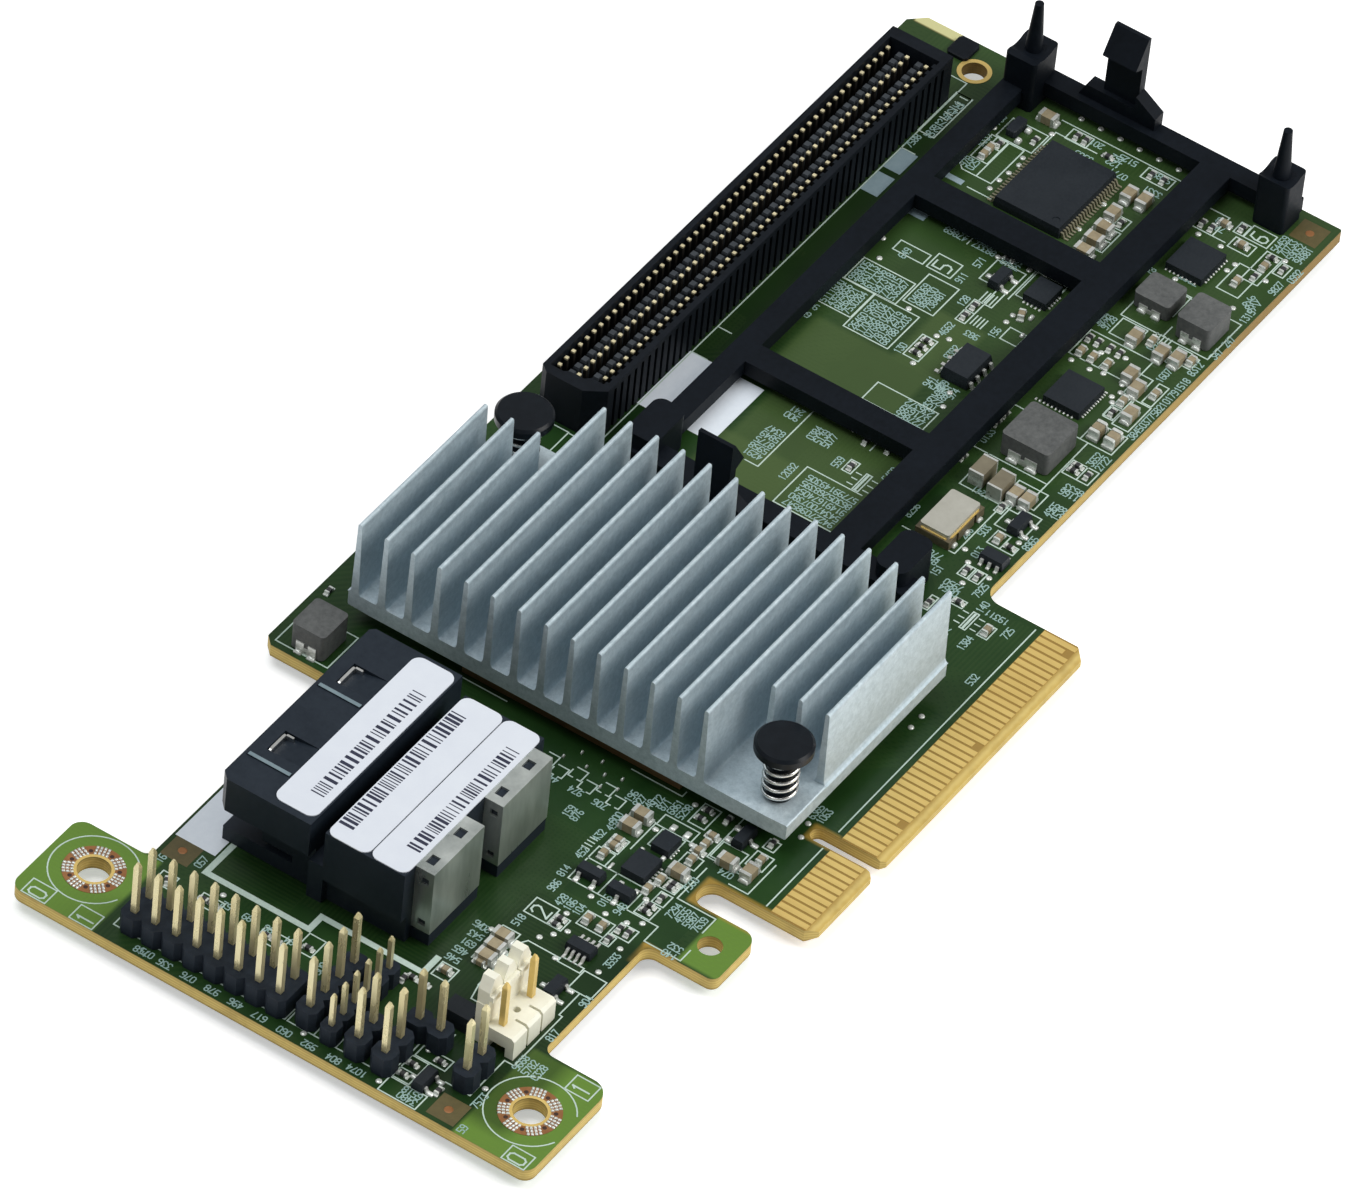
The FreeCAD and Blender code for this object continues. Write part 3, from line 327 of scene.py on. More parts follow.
def boardFinish():
    # clouded mask with its lighter and darker areas and patches of painted shade, and bare laminate where the
    # board is cut
    finish, shader, place = newFinish("boardFinish")
    x, y, z = axes(place)
    mask = blendColours(spread(noise(place, 90, 3.0, 0.6), 0.35, 0.65), board["maskDark"], board["mask"])
    for area in ("pours", "tabs", "routed"):
        mask = tinted(mask, x, y, board[area])
    mask = blendColours(alongCard(x, board["paler"]), mask, board["maskLight"])
    # painted shade darkens the mask inside its patches
    mask = tinted(mask, x, y, board["paintedShade"])
    # conductors under the mask: fine parallel lines, each cell of a square net taking its own direction
    cells = addNode(place, "ShaderNodeTexVoronoi", distance="CHEBYCHEV", Scale=board["cells"])
    feed(cells.inputs["Vector"], place)
    pick = addNode(place, "ShaderNodeSeparateColor")
    feed(pick.inputs[0], cells.outputs["Color"])
    runs = [times(spread(bands(place, direction, board["conductors"]), 0.35, 0.65), spread(channel, 0.66, 0.68))
            for channel, direction in zip(pick.outputs, ("X", "Y", "DIAGONAL"))]
    lines = maths("MAXIMUM", maths("MAXIMUM", runs[0], runs[1]), runs[2])
    mask = blendColours(times(lines, board["conductorShade"]), mask, board["maskLight"])
    # the cut edges show bare laminate, burnt in places by the cutter and along their rims
    burnt = board["laminateBurnt"]
    edge = blendColours(bands(place, "Z", board["layers"], 1.5), board["laminate"], board["laminatePale"])
    edge = blendColours(times(spread(noise(place, 160, 4.0, 0.7), 0.48, 0.72), board["burnt"]), edge, burnt)
    edge = blendColours(alongCard(x, board["charred"]), edge, burnt)
    rim = maths("ADD", spread(z, -0.45 * mm, -0.05 * mm, 0, 0.4), spread(z, -1.5 * mm, -1.2 * mm, 0.5, 0))
    edge = blendColours(rim, edge, burnt)
    inside = times(spread(z, -1.56 * mm, -1.53 * mm), spread(z, -0.03 * mm, -0.005 * mm, 1, 0))
    # the mask stops short of the contact tongue and of a strip at the far end
    faces = spread(inside, 0, 1, 1, 0)
    tongue = inRect(x, y, board["tongue"], 0.02)
    flat = times(faces, spread(y, 0.9 * mm, 1.1 * mm))
    edge = blendColours(times(tongue, flat), edge, board["betweenContacts"])
    # the bare strip at the far end, painted pale as a highlight
    farStripHighlight = inRect(x, y, board["farStripPlace"], 0.15)
    edge = blendColours(times(farStripHighlight, faces), edge, board["farStripHighlight"])
    bare = maths("MAXIMUM", maths("MAXIMUM", inside, tongue), farStripHighlight)
    feed(shader["Base Color"], blendColours(bare, mask, edge))
    feed(shader["Roughness"], spread(bare, 0, 1, 0.32, 0.62))
    feed(shader["Specular IOR Level"], board["gloss"])
    grit = times(noise(place, 1600, 3.0, 0.6), board["gritRelief"])
    bump(shader, maths("ADD", times(lines, board["conductorRelief"]), grit), 0.25, 0.03)
    return finish


# the contacts' lower part is painted shade, near black, where they stand in their wells
contacts = {"wellShade": (0.014, 0.012, 0.009), "plating": (0.90, 0.80, 0.50), "metal": 0.3}


def contactFinish():
    # bright plating on the tips only, and painted shade below, where the contacts stand in their wells
    finish, shader, place = newFinish("contactFinish")
    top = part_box("stack_contacts")[1][2]
    tip = spread(axes(place)[2], top - 0.3 * mm, top - 0.1 * mm)
    speck = spread(noise(place, 1500), 0.35, 0.65, 0.75, 1.0)
    # below the tips the contacts carry painted shade
    feed(shader["Base Color"], blendColours(times(tip, speck), contacts["wellShade"], contacts["plating"]))
    feed(shader["Roughness"], spread(tip, 0, 1, 0.6, 0.3))
    feed(shader["Metallic"], contacts["metal"])
    return finish


sink = {"dark": (0.44, 0.54, 0.59), "light": (0.64, 0.74, 0.79), "shade": (0.22, 0.28, 0.32), "metal": 0.45,
        "fins": 17, "root": 0.86, "tip": 0.5, "base": 2.0, "pitch": 3.28125, "firstFin": 0.8, "fillet": 0.45,
        "shortFins": 3, "shortBy": 7.25, "bevel": 0.12, "baseChamfer": 0.1, "finChamfer": 0.04}


def sinkFinish():
    # fine-grained aluminium, duller low down between the fins where less light reaches
    finish, shader, place = newFinish("sinkFinish")
    z = axes(place)[2]
    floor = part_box("heatsink")[0][2] + sink["base"] * mm
    grain = maths("ADD", times(noise(place, 1500, 4.0, 0.8), 0.85), times(noise(place, 60, 2.0, 0.5), 0.15))
    metal = blendColours(spread(grain, 0.35, 0.65), sink["dark"], sink["light"])
    low = times(spread(z, floor + 0.1 * mm, floor + 0.5 * mm),
                spread(z, floor + 0.5 * mm, floor + 8.5 * mm, 0.22, 0))
    feed(shader["Base Color"], blendColours(low, metal, sink["shade"]))
    feed(shader["Roughness"], spread(grain, 0.3, 0.7, 0.45, 0.62))
    feed(shader["Metallic"], sink["metal"])
    bump(shader, grain, 0.25, 0.02)
    return finish


# each grained finish: light and dark colour, roughness from and to, fineness of the grain, relief, its depth
# in millimetres, metal, gloss, stretch of the grain
grainedFinishes = {
    "pinNylon": ((0.006, 0.009, 0.013), (0.003, 0.005, 0.008), (0.26, 0.4), 900, 0.1, 0.02, 0, 0.2),
    "headerNylon": ((0.02, 0.028, 0.04), (0.011, 0.016, 0.025), (0.45, 0.65), 1500, 0.3, 0.03, 0, 0.16),
    "stackNylon": ((0.008, 0.011, 0.016), (0.004, 0.006, 0.009), (0.5, 0.66), 1500, 0.25, 0.02, 0, 0.15),
    "toothNylon": ((0.045, 0.053, 0.062), (0.028, 0.034, 0.042), (0.5, 0.7), 1800, 0.4, 0.03, 0, 0.4),
    "framePlastic": ((0.006, 0.009, 0.014), (0.003, 0.005, 0.008), (0.45, 0.62), 1700, 0.3, 0.025, 0, 0.13),
    "portPlastic": ((0.017, 0.025, 0.036), (0.01, 0.016, 0.025), (0.38, 0.55), 1500, 0.25, 0.02, 0, 0.25),
    "whiteNylon": ((0.94, 0.93, 0.8), (0.88, 0.86, 0.71), (0.35, 0.5), 500, 0.12),
    "chipEpoxy": ((0.018, 0.023, 0.029), (0.011, 0.015, 0.02), (0.45, 0.65), 3000, 0.35, 0.02, 0, 0.25),
    "gold": ((0.8, 0.58, 0.19), (0.7, 0.49, 0.145), (0.28, 0.42), 700, 0.08, 0.01, 0.33, 0.5, (1, 0.2, 1)),
    "paleGold": ((0.8, 0.73, 0.45), (0.68, 0.59, 0.32), (0.2, 0.36), 900, 0.08, 0.01, 0.5, 0.5, (1, 1, 0.3)),
    "tin": ((0.74, 0.75, 0.72), (0.56, 0.57, 0.54), (0.22, 0.42), 1300, 0.2, 0.02, 0.5),
    "dullTin": ((0.36, 0.34, 0.24), (0.25, 0.23, 0.15), (0.3, 0.45), 1300, 0.2, 0.02, 0.4),
    "solder": ((0.8, 0.83, 0.79), (0.6, 0.63, 0.59), (0.18, 0.38), 1800, 0.25, 0.02, 0.35),
    "nickel": ((0.78, 0.82, 0.78), (0.34, 0.38, 0.36), (0.22, 0.42), 420, 0.03, 0.01, 0.8, 0.5, (0.5, 0.5, 0.12)),
    "steel": ((0.8, 0.8, 0.78), (0.64, 0.64, 0.62), (0.16, 0.3), 900, 0.08, 0.01, 1),
    "copper": ((0.36, 0.16, 0.055), (0.26, 0.105, 0.035), (0.35, 0.55), 900, 0.2, 0.02, 0.35),
    "ferrite": ((0.135, 0.14, 0.137), (0.075, 0.079, 0.079), (0.6, 0.8), 1800, 0.4, 0.03, 0, 0.3),
    "tallCeramic": ((0.21, 0.185, 0.125), (0.155, 0.135, 0.09), (0.35, 0.5), 900, 0.15),
    "chipCeramic": ((0.36, 0.3, 0.19), (0.24, 0.195, 0.12), (0.38, 0.55), 1200, 0.15),
    "darkCeramic": ((0.05, 0.05, 0.052), (0.03, 0.03, 0.032), (0.35, 0.5), 1500, 0.2),
    "oscillatorCeramic": ((0.14, 0.115, 0.065), (0.09, 0.07, 0.04), (0.4, 0.55), 1200, 0.2),
    "lidMetal": ((0.6, 0.59, 0.52), (0.52, 0.51, 0.44), (0.38, 0.52), 900, 0.12, 0.015, 0.5),
    "packageResin": ((0.16, 0.095, 0.035), (0.1, 0.058, 0.02), (0.45, 0.6), 700, 0.15),
    "padGum": ((0.5, 0.5, 0.5), (0.4, 0.4, 0.4), (0.6, 0.8), 600, 0.2),
    "labelFilm": ((0.74, 0.78, 0.84), (0.7, 0.74, 0.81), (0.3, 0.45), 350, 0.08),
    "ink": ((0.58, 0.7, 0.63), (0.44, 0.57, 0.5), (0.5, 0.7), 2500, 0.2, 0.01),
    "textInk": ((0.36, 0.52, 0.49), (0.26, 0.41, 0.38), (0.5, 0.7), 2500, 0.2, 0.01),
    "paintWhite": ((0.78, 0.84, 0.9), (0.72, 0.78, 0.85), (0.45, 0.6), 1200, 0.2, 0.01),
    "padPaint": ((0.3, 0.4, 0.44), (0.24, 0.34, 0.38), (0.45, 0.6), 1200, 0.2, 0.01),
    "roofLine": ((0.2, 0.27, 0.3), (0.14, 0.2, 0.23), (0.5, 0.7), 1500, 0.1, 0.01),
    "barInk": ((0.022, 0.026, 0.06), (0.014, 0.017, 0.042), (0.5, 0.7), 2500, 0.1, 0.01),
    "burntLaminate": ((0.115, 0.09, 0.03), (0.08, 0.066, 0.02), (0.45, 0.6), 1500, 0.2),
    "darkBore": ((0.05, 0.018, 0.008), (0.03, 0.01, 0.005), (0.5, 0.7), 2000, 0.1, 0.01),
}
finishes = {name: grained(name, *values) for name, values in grainedFinishes.items()}
finishes.update(boardFinish=boardFinish(), contactFinish=contactFinish(), sinkFinish=sinkFinish())

finishOfNodes = {
    "boardFinish": "circuit_board",
    "gold": "edge_contacts_front edge_contacts_back fan_header_pins port_contacts",
    "sinkFinish": "heatsink",
    "pinNylon": "push_pins",
    "steel": "pin_springs",
    "packageResin": "controller_package",
    "lidMetal": "controller_lid oscillator_lid",
    "padGum": "thermal_pad",
    "headerNylon": "main_header_block row_header_block fine_header_block pair_header_blocks",
    "paleGold": "main_header_pins row_header_pins fine_header_pins pair_header_pins",
    "whiteNylon": "fan_header_body",
    "portPlastic": "port_housing port_tail_blocks",
    "nickel": "port_shell_1 port_shell_2",
    "framePlastic": "module_frame",
    "stackNylon": "stack_housing",
    "contactFinish": "stack_contacts",
    "labelFilm": "port_label_front port_label_middle port_label_rear",
    "chipEpoxy": ("logic_chip_body switch_chip_body driver_chip_body gate_chip_body transistor_bodies "
                  "regulator_bodies small_flat_bodies mini_flat_body fuse_body"),
    "dullTin": "logic_chip_leads",
    "tin": ("switch_chip_leads driver_chip_leads gate_chip_leads transistor_leads inductor_clips "
            "tall_capacitor_ends chip_capacitor_ends"),
    "ferrite": "inductor_large inductor_tall inductor_medium inductor_low",
    "oscillatorCeramic": "oscillator_base",
    "tallCeramic": "tall_capacitor_bodies",
    "chipCeramic": "chip_capacitor_bodies",
}
for finishName, nodeNames in finishOfNodes.items():
    for name in nodeNames.split():
        nodes[name].data.materials.clear()
        nodes[name].data.materials.append(finishes[finishName])
print("finishes on", len(nodes), "nodes")

# Pale print on the board: box outlines, lines, ticks, brackets and rings, all as thin raised strokes.

printing = {
    "rise": 0.02, "thin": 0.15,
    "stagger": (0.0015, 5),  # neighbouring strokes stand this much higher, by turns of five, so none share a face
    "boxes": [  # x0, y0, x1, y1
        (-56.5, 18, -54.3, 22.5), (-54.1, 20.4, -52.6, 22.4), (-52.6, 20.4, -50.6, 22.4),
        (-50.4, 18.6, -48.8, 22.2), (-56.5, 4.9, -54.4, 7.6), (-44.9, 5.1, -42.6, 7.9),
        (-56.5, 63.3, -54.3, 66.2), (-56.5, 57.5, -54.3, 60.3), (-40.3, 25.3, -38.2, 27.3),
        (-35.9, 23.3, -30.3, 25.4), (-33.3, 12.7, -30.4, 15.4), (-31, 15.6, -30.2, 18.3),
        (-27.4, 22.1, -25, 24.9), (-27.4, 20.4, -25.6, 22), (-25.5, 16.5, -23.3, 19.8),
        (-26.2, 15.4, -24.7, 16.5), (-24.5, 14.1, -22.6, 16.2), (-20.8, 16.9, -17.2, 24),
        (-17.2, 22, -15.2, 24), (-15, 21.9, -12.8, 23.7), (-11.9, 17.5, -9.2, 20.3), (-9, 17, -7.3, 21.2),
        (-6.7, 16.9, -3.5, 18.9), (-9.3, 11.4, -6.8, 14.4), (-8, 9, -5.7, 11), (-20.6, 14.2, -18.6, 16.1),
        (-18.3, 14.1, -16.5, 15.5), (-16.1, 14.2, -14.5, 16.1), (-12.1, 14.5, -10.3, 16.5),
        (-5, 9.6, -3.5, 10.9), (40.2, 15.7, 42, 16.9), (40.2, 14.3, 42, 15.5), (46, 13.8, 47.2, 15.4),
        (46, 15.4, 48.2, 17), (34, 9.2, 36, 10.4), (36.2, 13.7, 37.3, 15.2), (33.8, 16.4, 36, 17.2),
        (45.5, 33.7, 47.4, 34.8), (55.7, 31.4, 58.8, 39), (63.6, 41, 69.7, 46.6), (65.1, 46.7, 69.7, 51.2),
        (69.8, 44.1, 73.7, 50.6), (70.8, 40, 75.9, 43.8), (76.7, 41.7, 79.2, 44.7), (76.7, 45.2, 78.4, 49),
        (64, 37.4, 67.8, 39.3), (71.9, 36.7, 73.8, 37.9), (73.8, 36.7, 75.7, 37.9), (75.7, 35.8, 78.5, 36.8),
        (72.4, 30.5, 74.5, 32.6), (51.5, 16.7, 57.1, 24), (57.1, 16.7, 65, 25.9), (48.7, 14.3, 52.4, 17.8),
        (53, 15.7, 55.8, 19.3), (50.4, 18.1, 52, 19), (59.6, 14.7, 61.9, 16.5), (59.6, 13.3, 61.9, 14.7),
        (65, 13.8, 68.2, 17.7), (69.4, 16.5, 71.2, 17.7), (71.2, 16.5, 73.4, 17.7), (69, 14.3, 73.5, 16.3),
        (73.7, 16.4, 77.2, 17.9), (73.7, 14.4, 77.2, 15.6), (75.2, 17.9, 79.6, 25.7), (78.7, 35.7, 82.3, 39.3),
        (79, 31.2, 83.4, 34.9), (90.2, 31.2, 92, 32.3), (92, 31.2, 93.9, 32.3), (94.3, 31.3, 96.2, 32.6),
        (102.7, 41.4, 104.5, 44), (102.7, 31, 104.5, 34.4), (83.5, 13.6, 90.2, 24.5), (80.4, 20.9, 83.2, 24),
        (80.4, 15.3, 83.2, 17), (81, 14.2, 82.9, 15.3), (99.5, 18.7, 101.3, 21.3), (99.8, 23.4, 103.3, 26.2),
        (101.8, 20.8, 103.6, 22), (101.8, 17.8, 104, 20.7), (93.4, 16.1, 98.1, 18.8),
        (96.3, 15.5, 101.5, 17.5), (99, 14, 101, 15.3), (91.7, 46.3, 98.2, 48.2), (94, 48.3, 98.2, 50.4),
        (98.4, 45.5, 101.8, 50), (-13.8, 45, -11, 48), (-47.2, 54.7, -45.3, 56.6), (-47, 49, -45.3, 51.6),
        (-47.2, 41, -45.3, 44), (-46, 38, -43.3, 40), (93.8, 55, 101.4, 57), (96.5, 48.3, 98.3, 49.7),
        (69.6, 16.5, 71.5, 17.8), (33.8, 11.75, 36.6, 12.45), (43.8, 31.65, 46.6, 32.35),
        (27.9, 60.2, 32.2, 62.1), (-11.7, 60.1, -6.2, 66.6), (86.7, 20, 90.4, 24.4),
    ],
    "lines": [  # x, y through two or more points
        [(-53, 56.2), (-54.5, 56.2), (-54.5, 35.2), (-52.8, 35.2)],
        [(-52.8, 34.9), (-54.5, 34.9), (-54.5, 31.7), (-53, 31.7)], [(-53.1, 29), (-54.5, 29), (-54.5, 31.7)],
        [(-54.5, 29), (-54.5, 22.7), (-48.4, 22.7), (-48.4, 20.6), (-45.7, 20.6)],
        [(-54.5, 25.9), (-53.1, 25.9)],
        [(-51.55, 17.7), (-51.55, 14.75), (-45.5, 14.75), (-45.5, 13.6), (-37, 13.6), (-37, 14), (-33.3, 14)],
        [(-38.6, 22.7), (-31.3, 22.7), (-30.5, 22.2), (-30.5, 18.4)],
        [(-40.6, 20.2), (-40.6, 22.2), (-38.4, 22.7)], [(-11.55, 6), (-1.35, 6)], [(1.65, 6), (38.4, 6)],
        [(-20.8, 16.9), (-20.8, 13), (-23.3, 13), (-23.3, 8.6), (-21.5, 8.6)],
        [(-18.7, 9), (-16.3, 9), (-16.3, 13.7), (-11, 13.7)], [(-11.4, 10.7), (-11.4, 8.4), (-6.3, 8.4)],
        [(-9.6, 14.6), (-9.6, 10)], [(-9.6, 14.6), (-2.8, 14.6)], [(-17.2, 20.4), (-20.8, 20.4)],
        [(-13.5, 21.3), (-8.9, 21.3), (-8.9, 22.6)], [(-4.15, 27.5), (-4.15, 21.3), (-3.4, 21.3)],
        [(-4.15, 43), (-4.15, 50)], [(42.5, 25.2), (42.5, 18.7), (51.4, 18.7)],
        [(43.6, 31), (43.6, 37.8), (37.1, 37.8), (37.1, 30.3)], [(40.4, 43.5), (40.4, 41.9), (51.4, 41.9)],
        [(49.7, 34), (51.4, 34), (51.4, 36)], [(32.1, 60), (32.1, 56.9), (103.2, 56.9), (103.2, 59)],
        [(104.85, 45.7), (104.85, 30.4)], [(82.3, 43.2), (84.9, 43.2)], [(78, 35.15), (85, 35.15)],
        [(57.1, 20), (57.1, 16.7)], [(83.5, 19.2), (85.3, 19.2)], [(91.7, 47), (91.7, 50), (92.9, 51.2)],
        [(89.7, 48), (89.7, 44.9)], [(90.4, 55.2), (90.4, 56.9)], [(101.4, 55.2), (101.4, 56.9)],
        [(102.8, 40), (102.8, 45.2), (98.6, 45.2)], [(75.2, 22), (77, 22)], [(-16, 44.5), (-16, 44.9)],
        [(99.8, 21.8), (99.8, 23.4)], [(48.5, 27), (51, 27)], [(55.2, 55.2), (55.2, 56.9)],
        [(50.3, 56.9), (50.3, 55)],
    ],
    "ticks": [  # x, y of the first, step x, step y, how many, length, turn
        (72.3, 35, 0, 0.42, 4, 1.5, 0), (75.9, 36.2, 0, 0.42, 4, 1.6, 0), (82.2, 18.1, 0, 0.45, 5, 1.4, 0),
        (97, 55.4, 1, 0, 5, 0.9, 90), (44.3, 27.6, 0.45, 0, 6, 1.2, 90), (-16.2, 24.6, 0.5, 0, 4, 0.8, 90),
        (58, 27.6, 0.5, 0, 5, 0.9, 90), (66.3, 31.4, 0, 0.45, 5, 1.2, 0), (44.3, 30.7, 0.9, 0, 3, 0.6, 90),
        (44.3, 32.7, 0.9, 0, 3, 0.6, 90), (34.3, 10.8, 0.9, 0, 3, 0.6, 90), (34.3, 12.8, 0.9, 0, 3, 0.6, 90),
        (43.9, 32, 0, 0.12, 2, 2.6, 0), (33.9, 12.05, 0, 0.12, 2, 2.6, 0),
    ],
    "brackets": {"x": -9.0, "y": 25.4, "count": 9, "step": 1.75, "shift": 0.9, "paths": [
        [(0.75, 1.3), (0.75, 0), (-0.75, 0), (-0.75, 0.4)], [(-0.75, 1.0), (-0.75, 1.55), (0.2, 1.55)]]},
    "border": [(-36.4, 53.1), (-42.9, 53.1), (-42.9, 40.4), (-40.7, 40.4), (-40.7, 28.0), (-38.2, 28.0)],
    "borderWidth": 0.7,
    "panels": [  # x0, y0, x1, y1: two white ones, then four grey ones
        (-40.5, 53.7, -32.0, 58.6), (40.3, 47.7, 50.3, 57.1), (82.3, 54.7, 85.8, 56.8),
        (86.7, 54.7, 90.3, 56.8), (82.3, 48.8, 84.8, 51.4), (89.5, 48.7, 90.3, 51.3),
    ],
    "panelRise": 0.016,
    "rings": {"radius": 4.7, "from": -60, "to": 245, "points": 44},
}
holes = [(-49.6, 62.15), (-49.6, 8.85)]


def polyline(points):
    # each point beside the next: rows of x, y, x, y
    points = np.asarray(points, float)
    return np.column_stack([points[:-1], points[1:]])


def strokes(ends, width):
    # a bar between each pair of points: as long as the pair is apart plus its width, turned to the pair's angle
    run = ends[:, 2:] - ends[:, :2]
    middle = (ends[:, 2:] + ends[:, :2]) / 2
    step, turns = printing["stagger"]
    rise = printing["rise"] + step * (np.arange(len(ends)) % turns)
    places = np.column_stack([middle, np.zeros(len(ends)), np.hypot(run[:, 0], run[:, 1]) + width,
                              np.full(len(ends), width), rise, np.degrees(np.arctan2(run[:, 1], run[:, 0]))])
    return stamp(strokeShape, places)


outlines = []
for x0, y0, x1, y1 in printing["boxes"]:
    outlines.append(polyline([(x0, y0), (x1, y0), (x1, y1), (x0, y1), (x0, y0)]))
outlines += [polyline(points) for points in printing["lines"]]
brackets = printing["brackets"]
for i in range(brackets["count"]):  # open brackets of the coupling capacitors, shifted by turns
    corner = (brackets["x"] + brackets["shift"] * (i % 2), brackets["y"] + i * brackets["step"])
    outlines += [polyline(np.array(path) + corner) for path in brackets["paths"]]
for x, y, stepX, stepY, count, length, turn in printing["ticks"]:
    first = np.arange(count)[:, None] * (stepX, stepY) + (x, y)
    along = np.array([np.cos(np.radians(turn)), np.sin(np.radians(turn))]) * length
    outlines.append(np.hstack([first, first + along]))
rings = printing["rings"]
angle = np.radians(np.linspace(rings["from"], rings["to"], rings["points"]))
outlines += [polyline(rings["radius"] * np.stack([np.cos(angle), np.sin(angle)], 1) + hole) for hole in holes]
outlines = np.concatenate(outlines)

digitStrokes = {  # plain stroke digits on a grid four wide and six high
    "0": [(1, 0), (3, 0), (4, 1), (4, 5), (3, 6), (1, 6), (0, 5), (0, 1), (1, 0)],
    "1": [(1, 5), (2, 6), (2, 0)],
    "2": [(0, 5), (1, 6), (3, 6), (4, 5), (4, 4), (0, 0), (4, 0)],
    "3": [(0, 6), (4, 6), (2, 4), (4, 2), (4, 1), (3, 0), (1, 0), (0, 1)],
    "4": [(3, 0), (3, 6), (0, 2), (4, 2)],
    "5": [(4, 6), (0, 6), (0, 3), (3, 3), (4, 2), (4, 1), (3, 0), (0, 0)],
    "6": [(4, 6), (1, 6), (0, 4), (0, 1), (1, 0), (3, 0), (4, 1), (4, 2), (3, 3), (0, 3)],
    "7": [(0, 6), (4, 6), (1, 0)],
    "8": [(1, 3), (0, 4), (0, 5), (1, 6), (3, 6), (4, 5), (4, 4), (3, 3), (1, 3), (0, 2), (0, 1), (1, 0),
          (3, 0), (4, 1), (4, 2), (3, 3)],
    "9": [(0, 0), (3, 0), (4, 2), (4, 5), (3, 6), (1, 6), (0, 5), (0, 4), (1, 3), (4, 3)],
}
